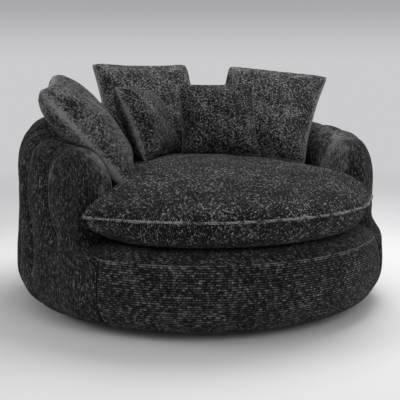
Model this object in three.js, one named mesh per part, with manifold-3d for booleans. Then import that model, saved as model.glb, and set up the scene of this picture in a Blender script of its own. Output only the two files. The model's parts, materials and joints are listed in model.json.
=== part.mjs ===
// A round cuddle chair: a drum-shaped upholstered body with one padded roll for both arms and the back,
// on a hidden swivel plinth, with a loose T-shaped seat cushion and five loose scatter cushions.
// Millimetres, +Z up, the origin on the floor under the middle of the drum, the seat's opening towards -Y.
import * as THREE from "three";
import { mergeVertices } from "three/addons/utils/BufferGeometryUtils.js";
import Module from "manifold-3d";

const wasm = await Module();
wasm.setup();

// Clearances
const GAP = 0.3; // between a piece and what it lies on or is fixed to
const PLAY = 0.5; // between pieces that turn or slide past each other
const OVERRUN = 12; // how far a cutter runs past the face that it opens

// Materials' thicknesses
const CLOTH = 3; // chenille with its backing
const PLY = 18;
const HARDBOARD = 3.5;
const CAMBRIC = 1;
const STEEL = 2;

// Drum: the body below the deck's seam
const DRUM_R = 716; // widest radius of the upholstery
const HEM_IN = 112; // from the widest radius in to where the cover turns under
const HEM_Z = 20;
const HEM_WIDTH = 42; // strip of cover stapled under the base board
const BULGE_Z = 150; // height at which the drum is widest
const SEAM_IN = 24; // from the widest radius in to the seam between the front border and the deck
const SEAM_Z = 262;

// Outline of the drum from the hem to the widest place: shares of the way up and of the way out.
const SKIRT_SHARES = [
  [0, 0],
  [0.055, 0.4],
  [0.22, 0.7],
  [0.54, 0.91],
  [1, 1],
];

// A point of the front band between its widest place and its seam: shares of the way in and of the way up.
const BAND_SHOULDER_SHARES = { in: 0.3, up: 0.6 };

// Arms and back: one roll on an arc round the seat
const ROLL_IN = 125; // from the drum's widest radius in to the roll's middle
const ROLL_HALF = 111; // half its thickness
const ROLL_TOP = 150; // height of its rounded top
const RIDGE_HALF = 10; // half the width of the flat along the very top
const ARM_H = 612;
const BACK_H = 742;
const OPENING_DEG = 58.5; // from straight ahead to the front of each arm
const ARM_END = 117; // length of an arm's rounded front
const ROLL_COLUMNS = 16;
const END_STEPS = 5;
const INNER_END_STEPS = 4; // ends of what lies inside the cover
const SPLIT_IN = 63; // from the roll's middle in to its shoulder, where the inside and outside covers meet
const INSIDE_Z = 236; // the inside cover and its foam reach down to here
const UNDER_DECK_IN = 31; // from the roll's middle in to where it is open below that height

// How far round the quarter turn each ring of the roll's top lies, and how square the ring's ends are.
const TOP_POWER = 0.8; // below 1 makes the rounded top fuller than a circle
const TOP_RINGS = [
  { deg: 0, square: 3.4 },
  { deg: 30, square: 2.6 },
  { deg: 55, square: 2.2 },
  { deg: 76, square: 2 },
];
const LOW_SQUARE = 40; // ends below the deck
const DECK_SQUARE = 5; // ends just below the deck

// Pleats of the outside cover
const PLEAT_DEG = 15;
const PLEAT_COUNT = 15; // an odd number, one of them in the middle of the back
const PLEAT_DEPTH = 13;
const PLEAT_SHOULDER_SHARE = 0.27; // from a pleat's fold to its shoulder, as a share of the pitch
const PLEAT_LOW_SHARE = 0.55; // how deep the pleats still are where the drum is widest

// Deck
const DECK_Z = 300;
const DECK_FLAT_SHARE = 0.86; // how far out the deck stays level
const DECK_CLEAR = 4; // from the deck to the arms and back
const DECK_FOAM_INSET = 9; // from the deck's edge in to its foam

// Seat cushion
const SEAT_FRONT_IN = 16; // from the drum's widest radius in to the front of the seam
const SEAT_EAR_LEFT_IN = 10; // and in to the ears before the arms
const SEAT_EAR_RIGHT_IN = 30;
const SEAT_CLEAR = 17; // from the cushion's seam to the arms and back
const SEAT_SEAM_Z = 408;
const SEAT_CROWN = 148; // from the seam up to the middle of the top
const SEAT_BACK_POWER = 0.6; // below 1 makes the top fuller towards the back
const SEAT_CENTRE_Y = -110; // where its top is highest
const SEAT_SHELL = 4;
const SEAT_SEAM_INSET = 14; // from the seam in to the filling

// Sections of the seat cushion from the seam inwards: shares of the way out and of the height.
const SEAT_TOP_SHARES = [
  [0.985, 0.11],
  [0.93, 0.28],
  [0.8, 0.52],
  [0.6, 0.765],
  [0.35, 0.93],
];
const SEAT_UNDER_SHARES = [
  [0.7, 1],
  [0.88, 0.93],
  [0.95, 0.76],
  [0.985, 0.5],
];

// Scatter cushions in two sizes
const LARGE = 486;
const PRESSED = 470; // a large one pressed together between the arm and the back
const SMALL = 344;
const LARGE_LOFT = 165; // thickness in the middle
const SMALL_LOFT = 126;
const DRAWN_IN_SHARE = 0.1; // how far the middle of a side is drawn in, as a share of half the side
const CORNER_POWER = 2.2;
const LOFT_POWER = 0.62;
const SCATTER_SHELL = 4;
const SCATTER_SEAM_INSET = 11;
const SCATTER_SIDE_POINTS = 6; // points along each side
const SCATTER_SHARES = [0.9, 0.66, 0.34]; // its rings, as shares of the way out to the seam
const PAD_SIDE_POINTS = 4;
const PAD_SHARES = [0.82, 0.42];
const LEAN_HALVINGS = 12; // how finely a cushion is brought up to the arms and back
const SLIT_WIDTH = 1.2; // the opening for the pad, along one side seam
const SLIT_SHARE = 0.6; // its length, as a share of the side
const SLIT_DEPTH = 40;

// Where each scatter cushion stands: its middle as shares of the seat's inner radius (x and y) and of
// the arms' height (z), the way it faces in degrees from -Y towards +X, how far it leans back and how
// far it is rolled.
const SCATTERS = {
  left_large: {
    size: LARGE,
    loft: LARGE_LOFT,
    place_shares: [-0.927, 0.025, 1.082],
    facing: 67,
    lean: 39,
    roll: 8,
  },
  back_large: {
    size: LARGE,
    loft: LARGE_LOFT,
    place_shares: [-0.12, 0.9, 1.146],
    facing: 6,
    lean: 29,
    roll: 0,
  },
  right_large: {
    size: PRESSED,
    loft: LARGE_LOFT,
    place_shares: [0.776, 0.37, 1.132],
    facing: -38,
    lean: 36,
    roll: -7,
  },
  left_small: {
    size: SMALL,
    loft: SMALL_LOFT,
    place_shares: [-0.325, 0.356, 1.083],
    facing: 47,
    lean: 26,
    roll: -4,
  },
  middle_small: {
    size: SMALL,
    loft: SMALL_LOFT,
    place_shares: [0.261, 0.229, 1.106],
    facing: -14,
    lean: 23,
    roll: 1,
  },
};

// Plinth and swivel
const GLIDE_R = 16;
const GLIDE_H = 3;
const GLIDE_COUNT = 6;
const GLIDE_INSET = 40; // from the plinth's edge to a glide's middle
const PLINTH_R = 400;
const PLINTH_T = 9;
const PLATE = 210;
const RACE_R = 80;
const RACE_HALF = 8;
const RACE_SPLIT = 2.4; // gap between the two races
const BALL_R = 2.6;
const GROOVE_HALF = 4; // half the width of the groove that the balls run in
const BALL_COUNT = 10;
const CAGE_HALF = 6;
const CAGE_T = 0.8;
const PIN_R = 7;
const PIN_HEAD_R = 14;
const PIN_HEAD_T = 3;
const HEAD_TOP_SHARE = 0.65; // flat top of a rounded head, as a share of its radius
const SCREW_R = 2.5;
const SCREW_HEAD_R = 6;
const SCREW_HEAD_T = 1.6;
const LOWER_SCREW_LENGTH = 9;
const UPPER_SCREW_LENGTH = 16;
const SCREW_PLACE = 88;

// Frame
const BOARD_IN = 6; // from the hem in to the base board's edge
const RAIL_T = 30;
const RAIL_H = 90;
const RAIL_TOP = 226;
const SIDE_RAIL_SHARE = 0.552; // the rails' places as shares of the base board's radius
const FRONT_RAIL_SHARE = 0.719;
const BACK_RAIL_SHARE = 0.502;
const BORDER_DEPTH = 100; // from the border's seam in to its board
const FRONT_PANEL_TOP = 246;
const RIB_DEG = 55; // from one rib to the next
const RIB_COUNT = 5;
const RIB_IN = 71; // from the roll's middle in to a rib's inner edge
const RIB_OUT = 73; // and out to its outer edge
const RIB_FOOT_Z = 92; // above its foot a rib has its full width
const RIB_CLEAR = 0.7; // from a rib up to the top rail, which isn't quite flat
const RIB_SHOULDER = 46; // slope of a rib's shoulders below the top rail
const TOP_RAIL_HALF = 46;
const TOP_RAIL_DROP = 44; // from the roll's top down to the rail
const LINER_Z = 200;
const LINER_TOP_DROP = 110;
const FRAME_END_DEG = 112;

// Zigzag springs
const SPRING_COUNT = 4;
const SPRING_PITCH = 150;
const WIRE_R = 2;
const SPRING_HALF_WIDTH = 25;
const SPRING_RUNS = 11; // straight runs across, an odd number
const SPRING_ARCH = 14;
const BEND_STEPS = 3;
const CLIP_T = 1.5;
const CLIP_LENGTH = 18;
const CLIP_DEPTH = 14;
const FELT_T = 4;

// Zip of the seat cushion, in its back seam
const ZIP_DEG = 34; // each way from the middle of the back
const ZIP_STEPS = 12;
const ZIP_SEAT_IN = 5; // how far the seam is cut back for the zip
const ZIP_SEAT_HALF = 8;
const TAPE_WIDTH = 15;
const TAPE_T = 2;
const BEAD_WIDTH = 4;
const BEAD_T = 5;
const ZIP_PLAY = 0.8;
const SLIDER_HALF_DEG = 0.8;
const SLIDER_WALL = 2;
const PULL_LENGTH = 26;
const PULL_WIDTH = 8;
const PULL_T = 1.6;

// Faceting
const ROUND_STEPS = 30;
const FRONT_STEPS = 12;
const RACE_STEPS = 20;
const GLIDE_STEPS = 12;
const SMALL_STEPS = 8;

const { degToRad, radToDeg, lerp } = THREE.MathUtils;

// Places that follow from the sizes
const HEM_R = DRUM_R - HEM_IN;
const SEAM_R = DRUM_R - SEAM_IN;
const ROLL_R = DRUM_R - ROLL_IN;
const ROLL_IN_R = ROLL_R - ROLL_HALF;
const SPLIT_R = ROLL_R - SPLIT_IN;
const UNDER_DECK_R = ROLL_R - UNDER_DECK_IN;
const SEAT_FRONT_R = DRUM_R - SEAT_FRONT_IN;
const SEAT_EAR_LEFT_R = DRUM_R - SEAT_EAR_LEFT_IN;
const SEAT_EAR_RIGHT_R = DRUM_R - SEAT_EAR_RIGHT_IN;
const BOARD_R = HEM_R - BOARD_IN;
const SIDE_RAIL_X = BOARD_R * SIDE_RAIL_SHARE;
const FRONT_RAIL_Y = -BOARD_R * FRONT_RAIL_SHARE;
const BACK_RAIL_Y = BOARD_R * BACK_RAIL_SHARE;
const FRONT_PANEL_R = SEAM_R - BORDER_DEPTH;
const RIB_IN_R = ROLL_R - RIB_IN;
const RIB_OUT_R = ROLL_R + RIB_OUT;
const ROLL_END_DEG = 180 - OPENING_DEG - radToDeg(ARM_END / ROLL_R);
const PLINTH_Z = GLIDE_H + GAP;
const LOWER_PLATE_Z = PLINTH_Z + PLINTH_T + GAP;
const BOARD_Z = HEM_Z + CLOTH + GAP;
const BOARD_TOP = BOARD_Z + PLY;
const UPPER_PLATE_Z = BOARD_Z - GAP - STEEL;
const BALL_Z = (LOWER_PLATE_Z + STEEL + UPPER_PLATE_Z) / 2;
const WIRE_Z = RAIL_TOP + GAP + CLIP_T + WIRE_R;
const FELT_Z = WIRE_Z + SPRING_ARCH + WIRE_R + GAP;
const DECK_FOAM_Z = FELT_Z + FELT_T + GAP;
const COVER_DEPTH = CLOTH + PLEAT_DEPTH; // outside cover with the wadding behind its pleats
const BACK_SEAM_R = ROLL_IN_R - SEAT_CLEAR; // back seam of the seat cushion
const ZIP_R = BACK_SEAM_R - ZIP_SEAT_IN;

// Colours
const chenille = finish(0x3b3b3c, 0.95, 0);
const foam = finish(0xd9cfa6, 0.9, 0);
const fibre = finish(0xe8e6df, 0.95, 0);
const birch = finish(0xc7a878, 0.75, 0);
const brownBoard = finish(0x7a5a3c, 0.8, 0);
const blackBoard = finish(0x17171a, 0.7, 0);
const zincSteel = finish(0x9fa3a6, 0.35, 1);
const springSteel = finish(0x55585c, 0.4, 1);
const blackPlastic = finish(0x121214, 0.5, 0);
const felt = finish(0x6b6a68, 1, 0);
const cambric = finish(0x1b1b1d, 0.95, 0);

const chair = new THREE.Group();

function finish(color, roughness, metalness) {
  return new THREE.MeshStandardMaterial({ color, roughness, metalness });
}

/** Adds one named piece to a group, from a geometry or from a solid. */
function add(name, shape, material, parent = chair) {
  const mesh = new THREE.Mesh(shape.isBufferGeometry ? shape : geometryOf(shape), material);
  mesh.name = name;
  parent.add(mesh);
  return mesh;
}

/** A closed geometry as a solid for joins and cuts. */
function solidOf(geometry) {
  const bare = new THREE.BufferGeometry().setAttribute("position", geometry.getAttribute("position").clone());
  if (geometry.index) bare.setIndex(geometry.index.clone());
  const merged = mergeVertices(bare, 1e-3);
  return new wasm.Manifold(
    new wasm.Mesh({
      numProp: 3,
      vertProperties: new Float32Array(merged.attributes.position.array),
      triVerts: new Uint32Array(merged.index.array),
    }),
  );
}

function geometryOf(solid) {
  const mesh = solid.getMesh();
  return new THREE.BufferGeometry()
    .setAttribute("position", new THREE.BufferAttribute(mesh.vertProperties, 3))
    .setIndex(new THREE.BufferAttribute(mesh.triVerts, 1));
}

/** Points and triangles as a closed geometry whose faces look outwards. */
function closedGeometry(points, triangles) {
  let sixVolumes = 0;
  for (const [a, b, c] of triangles) sixVolumes += points[a].dot(points[b].clone().cross(points[c]));
  const outward = sixVolumes > 0 ? triangles : triangles.map(([a, b, c]) => [a, c, b]);
  return mergeVertices(new THREE.BufferGeometry().setFromPoints(points).setIndex(outward.flat()), 1e-3);
}

/** A point at an angle from the back, clockwise seen from above: the seat's opening is at 180 degrees. */
function polar(deg, r, z) {
  return new THREE.Vector3(r * Math.sin(degToRad(deg)), r * Math.cos(degToRad(deg)), z);
}

/** A box standing on z, its middle at x and y. */
function box(width, depth, height, x, y, z) {
  return new THREE.BoxGeometry(width, depth, height).translate(x, y, z + height / 2);
}

/** An upright cylinder standing on z. */
function disc(r, height, z, steps = ROUND_STEPS, x = 0, y = 0) {
  return new THREE.CylinderGeometry(r, r, height, steps).rotateX(Math.PI / 2).translate(x, y, z + height / 2);
}

/** A closed section, anticlockwise in radius and height, turned about the z axis. */
function turned(section, steps = ROUND_STEPS) {
  const profile = [...section, section[0]].map(([r, z]) => new THREE.Vector2(r, z));
  return new THREE.LatheGeometry(profile, steps).rotateX(Math.PI / 2);
}

/** A closed section, given at each angle from the back, swept round the z axis from one angle to another. */
function swept(sectionAt, fromDeg, toDeg, steps) {
  const rings = [];
  for (let i = 0; i <= steps; i++) {
    const deg = lerp(fromDeg, toDeg, i / steps);
    rings.push(sectionAt(deg).map(([r, z]) => polar(deg, r, z)));
  }
  const outline = sectionAt(fromDeg).map(([r, z]) => new THREE.Vector2(r, z));
  return joined(rings, THREE.ShapeUtils.triangulateShape(outline, []));
}

/** Rings of equal length joined one to the next, the first and last closed by triangles of their points. */
function joined(rings, firstCap, lastCap = firstCap) {
  const count = rings[0].length;
  const triangles = [];
  for (let i = 0; i + 1 < rings.length; i++) {
    for (let j = 0; j < count; j++) {
      const a = i * count + j;
      const b = i * count + ((j + 1) % count);
      triangles.push([a, b, b + count], [a, b + count, a + count]);
    }
  }
  // The first cap's triangles run against the ring's own direction, and the last one's with it.
  const withRing = (cap) => cap.some((t) => t.some((a, k) => t[(k + 1) % 3] === (a + 1) % count));
  const turnedTo = (cap, wanted) => (withRing(cap) === wanted ? cap : cap.map(([a, b, c]) => [a, c, b]));
  const last = (rings.length - 1) * count;
  triangles.push(...turnedTo(firstCap, false));
  triangles.push(...turnedTo(lastCap, true).map((triangle) => triangle.map((index) => last + index)));
  return closedGeometry(rings.flat(), triangles);
}

/** Triangles that close a ring, found on its outline as seen from above. */
function levelCap(ring) {
  return THREE.ShapeUtils.triangulateShape(ring.map(({ x, y }) => new THREE.Vector2(x, y)), []);
}

/** Rings joined one to the next, the first and the last drawn together to a point. */
function domed(first, rings, last) {
  const count = rings[0].length;
  const points = [...rings.flat(), first, last];
  const triangles = [];
  for (let i = 0; i + 1 < rings.length; i++) {
    for (let j = 0; j < count; j++) {
      const a = i * count + j;
      const b = i * count + ((j + 1) % count);
      triangles.push([a, b, b + count], [a, b + count, a + count]);
    }
  }
  const end = (rings.length - 1) * count;
  for (let j = 0; j < count; j++) {
    const next = (j + 1) % count;
    triangles.push([points.length - 2, next, j], [points.length - 1, end + j, end + next]);
  }
  return closedGeometry(points, triangles);
}

/**
 * Radius and height of the drum's outline from the hem to the widest place, taken in by one inset at
 * the widest place and by another at the hem.
 */
function skirt(inset = 0, hemInset = 0) {
  return SKIRT_SHARES.map(([up, out]) => [
    lerp(HEM_R - hemInset, DRUM_R - inset, out),
    lerp(HEM_Z, BULGE_Z, up) + hemInset * (1 - out),
  ]);
}

/** Radius of the drum's outline at a height below the widest place, taken in alike. */
function skirtRadius(z, inset) {
  const points = skirt(inset, inset);
  const next = points.findIndex(([, height]) => height >= z);
  const [[r0, z0], [r1, z1]] = [points[next - 1], points[next]];
  return lerp(r0, r1, (z - z0) / (z1 - z0));
}

/** Height of the roll's top at an angle from the back. */
function rollHeight(deg) {
  const towardsBack = 1 - Math.min(Math.abs(deg), ROLL_END_DEG) / ROLL_END_DEG;
  return lerp(ARM_H, BACK_H, Math.sin((towardsBack * Math.PI) / 2));
}

/** How wide the roll still is and how far up its rounded top, both from 0 to 1, at its quarter turn. */
function roundedTop(turn) {
  return { across: Math.cos(degToRad(turn)) ** TOP_POWER, up: Math.sin(degToRad(turn)) };
}

/** How far the outside cover is drawn in by its pleats at an angle from the back, from 0 to 1. */
function pleat(deg) {
  const nearest = Math.min(Math.round(Math.abs(deg) / PLEAT_DEG), (PLEAT_COUNT - 1) / 2);
  return Math.max(0, 1 - Math.abs(Math.abs(deg) / PLEAT_DEG - nearest) / PLEAT_SHOULDER_SHARE);
}

/** The angles at which the outside cover has a column of points: the folds and shoulders of its pleats. */
function pleatColumns() {
  const shoulder = PLEAT_DEG * PLEAT_SHOULDER_SHARE;
  const folds = Array.from({ length: PLEAT_COUNT }, (_, i) => (i - (PLEAT_COUNT - 1) / 2) * PLEAT_DEG);
  const inside = folds.flatMap((deg) => [deg - shoulder, deg, deg + shoulder]);
  return [-ROLL_END_DEG, ...inside, ROLL_END_DEG];
}

function evenColumns() {
  const step = (2 * ROLL_END_DEG) / ROLL_COLUMNS;
  return Array.from({ length: ROLL_COLUMNS + 1 }, (_, i) => i * step - ROLL_END_DEG);
}

/**
 * One level ring of the roll: a C seen from above with rounded ends. outer and inner are its half-widths,
 * end is the length of its ends, square says how square they are, and heightAt gives z at an angle.
 */
function rollRing(outerColumns, { outer, inner, end, square, heightAt, drawIn = 0, endSteps = END_STEPS }) {
  const endPoint = (side, turn) => {
    const along = end * Math.abs(Math.cos(turn)) ** (2 / square);
    const across = Math.abs(Math.sin(turn)) ** (2 / square) * (turn > 0 ? outer : -inner);
    const deg = side * (ROLL_END_DEG + radToDeg(along / ROLL_R));
    return polar(deg, ROLL_R + across, heightAt(deg));
  };
  const turns = Array.from(
    { length: endSteps },
    (_, k) => (Math.PI * (k + 1)) / (endSteps + 1) - Math.PI / 2,
  );
  return [
    ...outerColumns.map((deg) => polar(deg, ROLL_R + outer - drawIn * pleat(deg), heightAt(deg))),
    ...[...turns].reverse().map((turn) => endPoint(1, turn)),
    ...evenColumns().reverse().map((deg) => polar(deg, ROLL_R - inner, heightAt(deg))),
    ...turns.map((turn) => endPoint(-1, turn)),
  ];
}

/**
 * The roll from the hem to its ridge, taken in from its outer face and by one inset everywhere else.
 * Where it is taken in it has every other ring, which leaves the cover thicker over its rounded places.
 */
function rollSolid(outerColumns, { out = 0, inset = 0, drawIn = 0 } = {}) {
  const kept = (_, i) => inset <= 0 || i % 2 === 0;
  const shared = {
    inner: ROLL_HALF - inset,
    end: ARM_END - inset,
    endSteps: inset <= 0 ? END_STEPS : INNER_END_STEPS,
  };
  const low = skirt(out, inset).map(([r, z], i) => ({
    ...shared,
    outer: r - ROLL_R,
    square: LOW_SQUARE,
    heightAt: () => z,
    drawIn: drawIn * PLEAT_LOW_SHARE * SKIRT_SHARES[i][0],
  }));
  const deckHigh = {
    ...shared,
    outer: ROLL_HALF - out,
    square: DECK_SQUARE,
    heightAt: () => INSIDE_Z,
    drawIn,
  };
  const top = TOP_RINGS.map(({ deg: turn, square }) => {
    const { across, up } = roundedTop(turn);
    return {
      ...shared,
      outer: (ROLL_HALF - out) * across,
      inner: shared.inner * across,
      end: shared.end * across,
      square,
      heightAt: (deg) => rollHeight(deg) - lerp(ROLL_TOP, inset, up),
      drawIn: drawIn * across * (1 - up),
    };
  });
  const ridge = {
    ...shared,
    outer: RIDGE_HALF,
    inner: RIDGE_HALF,
    end: RIDGE_HALF,
    square: 2,
    heightAt: (deg) => rollHeight(deg) - inset,
  };
  const levels = [...low.filter(kept), deckHigh, ...top.filter(kept), ridge];
  const rings = levels.map((level) => rollRing(outerColumns, level));
  return solidOf(joined(rings, levelCap(rings[0]), levelCap(rings.at(-1))));
}

function makeCoversAndFoam() {
  const outside = rollSolid(pleatColumns(), { drawIn: PLEAT_DEPTH });
  const hollow = rollSolid(evenColumns(), { out: COVER_DEPTH, inset: CLOTH });
  const underSection = () => [
    [ROLL_IN_R + CLOTH, HEM_Z - OVERRUN],
    [HEM_R - HEM_WIDTH, HEM_Z - OVERRUN],
    [HEM_R - HEM_WIDTH, HEM_Z + OVERRUN],
    [ROLL_IN_R + CLOTH, HEM_Z + OVERRUN],
  ];
  const under = solidOf(swept(underSection, -FRAME_END_DEG, FRAME_END_DEG, ROLL_COLUMNS));
  const underDeck = solidOf(disc(UNDER_DECK_R, INSIDE_Z + OVERRUN, -OVERRUN));
  const boardRoom = solidOf(disc(BOARD_R + GAP, PLY + 2 * GAP, BOARD_Z - GAP));
  const cover = outside.subtract(hollow).subtract(under).subtract(underDeck).subtract(boardRoom);
  add("outside_cover", cover.subtract(solidOf(disc(SPLIT_R + GAP, BACK_H + OVERRUN, 0))), chenille);
  add("inside_cover", cover.intersect(solidOf(disc(SPLIT_R, BACK_H + OVERRUN, 0))), chenille);

  const filling = rollSolid(evenColumns(), { out: COVER_DEPTH + GAP, inset: CLOTH + GAP });
  const frameSection = (deg) => {
    const top = rollHeight(deg) - TOP_RAIL_DROP + GAP;
    const inR = RIB_IN_R - HARDBOARD - 2 * GAP;
    const outR = (RIB_OUT_R + GAP) / Math.cos(degToRad(FRAME_END_DEG / ROLL_COLUMNS));
    return [
      [inR, HEM_Z - OVERRUN],
      [outR, HEM_Z - OVERRUN],
      [outR, top - RIB_SHOULDER - PLY],
      [ROLL_R + TOP_RAIL_HALF + GAP, top],
      [ROLL_R - TOP_RAIL_HALF - GAP, top],
      [inR, top - RIB_SHOULDER - PLY],
    ];
  };
  const frameSpace = solidOf(swept(frameSection, -FRAME_END_DEG, FRAME_END_DEG, ROLL_COLUMNS));
  add("arm_and_back_foam", filling.subtract(frameSpace).subtract(underDeck).subtract(boardRoom), foam);
}

// Outline of the deck and the seat cushion, which fill the space between the arms and stand out to the
// drum's edge in front: degrees from straight ahead, counted from the arms' fronts where the outline
// runs in, and shares of the way
// from the back radius to the front radius.
const FRONT_DEG = [10, 20, 30, 40, 48];
const RUN_IN = [
  { deg: -4.5, radius_share: 1 },
  { deg: -1.8, radius_share: 1 },
  { deg: 0, radius_share: 0.8 },
  { deg: 0, radius_share: 0.5 },
  { deg: 0, radius_share: 0.3 },
  { deg: 0.5, radius_share: 0.14 },
  { deg: 2.1, radius_share: 0.05 },
  { deg: 6.5, radius_share: 0.01 },
];
const BACK_DEG = [78, 92, 106, 121, 136, 151, 166];

/** The outline as points at no height, from straight ahead round by the right. */
function seatOutline({ frontR, leftEarR = frontR, rightEarR = frontR, backR, clear }) {
  const edgeDeg = OPENING_DEG - radToDeg(clear / ROLL_R);
  const side = (earR) => [
    ...FRONT_DEG.map((deg) => [deg, frontR]),
    ...RUN_IN.map(({ deg, radius_share }) => {
      return [edgeDeg + deg, lerp(backR, deg > -4 ? earR : frontR, radius_share)];
    }),
    ...BACK_DEG.map((deg) => [deg, backR]),
  ];
  return [
    polar(180, frontR, 0),
    ...side(rightEarR).map(([deg, r]) => polar(180 - deg, r, 0)),
    polar(0, backR, 0),
    ...side(leftEarR).reverse().map(([deg, r]) => polar(180 + deg, r, 0)),
  ];
}

/** The outline drawn in towards the seat's middle by a share and by a distance, at a height or heights. */
function outlineRing(outline, share, inset, heightAt) {
  const middle = new THREE.Vector3(0, SEAT_CENTRE_Y, 0);
  return outline.map((point, i) => {
    const arm = point.clone().sub(middle);
    const scaled = arm.multiplyScalar(share * (1 - inset / arm.length())).add(middle);
    return scaled.setZ(typeof heightAt === "function" ? heightAt(point, i) : heightAt);
  });
}

function makeDeck() {
  const outline = seatOutline({ frontR: SEAM_R, backR: ROLL_IN_R - DECK_CLEAR, clear: DECK_CLEAR });
  // The deck's edge drops to the seam in front, and stays level between the arms and the back.
  const edge = (point) => (point.length() > ROLL_R ? SEAM_Z : lerp(SEAM_Z, DECK_Z, DECK_FLAT_SHARE));
  const middle = (z) => new THREE.Vector3(0, SEAT_CENTRE_Y, z);
  const cover = domed(
    middle(DECK_Z - CLOTH),
    [
      outlineRing(outline, DECK_FLAT_SHARE, CLOTH, DECK_Z - CLOTH),
      outlineRing(outline, 1, 0, (point) => edge(point) - CLOTH),
      outlineRing(outline, 1, 0, edge),
      outlineRing(outline, DECK_FLAT_SHARE, 0, DECK_Z),
    ],
    middle(DECK_Z),
  );
  add("deck_cover", cover, chenille);
  const foamTop = DECK_Z - CLOTH - GAP;
  const slab = domed(
    middle(foamTop),
    [
      outlineRing(outline, DECK_FLAT_SHARE, CLOTH, foamTop),
      outlineRing(outline, 1, DECK_FOAM_INSET, (point) => edge(point) - CLOTH - GAP),
      outlineRing(outline, 1, DECK_FOAM_INSET, DECK_FOAM_Z),
    ],
    middle(DECK_FOAM_Z),
  );
  add("deck_foam", slab, foam);
}

/** The padded band across the front, between the fronts of the arms. */
function makeFrontBorder() {
  const from = 180 - OPENING_DEG + radToDeg(DECK_CLEAR / DRUM_R);
  const to = 360 - from;
  const { in: shoulderIn, up: shoulderUp } = BAND_SHOULDER_SHARES;
  const shoulder = [lerp(DRUM_R, SEAM_R, shoulderIn), lerp(BULGE_Z, SEAM_Z, shoulderUp)];
  const outer = [[HEM_R - HEM_WIDTH, HEM_Z], ...skirt(), shoulder];
  const inner = [
    [HEM_R - HEM_WIDTH, HEM_Z + CLOTH],
    ...skirt(CLOTH, CLOTH),
    [shoulder[0] - CLOTH, shoulder[1]],
  ];
  const top = SEAM_Z - CLOTH - GAP;
  const cloth = [...outer, [SEAM_R, top], [SEAM_R - CLOTH, top], ...inner.reverse()];
  add("front_border", swept(() => cloth, from, to, FRONT_STEPS), chenille);
  const foamTop = DECK_FOAM_Z - GAP;
  const padInset = CLOTH + PLAY;
  const pad = [
    [FRONT_PANEL_R + GAP, BOARD_TOP + GAP],
    [skirtRadius(BOARD_TOP + GAP, padInset), BOARD_TOP + GAP],
    ...skirt(padInset, padInset).filter(([, z]) => z > BOARD_TOP + GAP),
    [SEAM_R - padInset, foamTop],
    [FRONT_PANEL_R + GAP, foamTop],
  ];
  add("border_foam", swept(() => pad, from, to, FRONT_STEPS), foam);
  const panel = [
    [FRONT_PANEL_R - HARDBOARD, BOARD_TOP + GAP],
    [FRONT_PANEL_R, BOARD_TOP + GAP],
    [FRONT_PANEL_R, FRONT_PANEL_TOP],
    [FRONT_PANEL_R - HARDBOARD, FRONT_PANEL_TOP],
  ];
  add("front_panel", swept(() => panel, from, to, FRONT_STEPS), brownBoard);
}

/** A screw along +Z with its head's underside at no height. */
function screw(length) {
  return turned(
    [
      [0, -SCREW_HEAD_T],
      [SCREW_HEAD_R * HEAD_TOP_SHARE, -SCREW_HEAD_T],
      [SCREW_HEAD_R, 0],
      [SCREW_R, 0],
      [SCREW_R, length - SCREW_R],
      [0, length],
    ],
    SMALL_STEPS,
  );
}

const screwPlaces = [-1, 1].flatMap((sx) => [-1, 1].map((sy) => [sx * SCREW_PLACE, sy * SCREW_PLACE]));

/** Cuts a round hole in a solid, from z up to another height. Its facets lie on the radius. */
function drilled(solid, r, from, to, x = 0, y = 0) {
  const cornerR = r / Math.cos(Math.PI / SMALL_STEPS);
  return solid.subtract(solidOf(disc(cornerR, to - from, from, SMALL_STEPS, x, y)));
}

/** One plate of the swivel with its ball race, turned towards the other plate. */
function swivelPlate(z, facing) {
  const face = facing > 0 ? z + STEEL : z;
  const lip = BALL_Z - (facing * RACE_SPLIT) / 2;
  const floor = BALL_Z - facing * (BALL_R + GAP);
  const section = [
    [RACE_R - RACE_HALF, face - (facing * STEEL) / 2],
    [RACE_R + RACE_HALF, face - (facing * STEEL) / 2],
    [RACE_R + RACE_HALF, lip],
    [RACE_R + GROOVE_HALF, lip],
    [RACE_R + GROOVE_HALF, floor],
    [RACE_R - GROOVE_HALF, floor],
    [RACE_R - GROOVE_HALF, lip],
    [RACE_R - RACE_HALF, lip],
  ];
  const race = solidOf(turned(facing > 0 ? section : section.reverse(), RACE_STEPS));
  let plate = solidOf(box(PLATE, PLATE, STEEL, 0, 0, z)).add(race);
  plate = drilled(plate, PIN_R + PLAY, z - OVERRUN, z + OVERRUN);
  for (const [x, y] of screwPlaces) plate = drilled(plate, SCREW_R + GAP, z - OVERRUN, z + OVERRUN, x, y);
  return plate;
}

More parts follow.
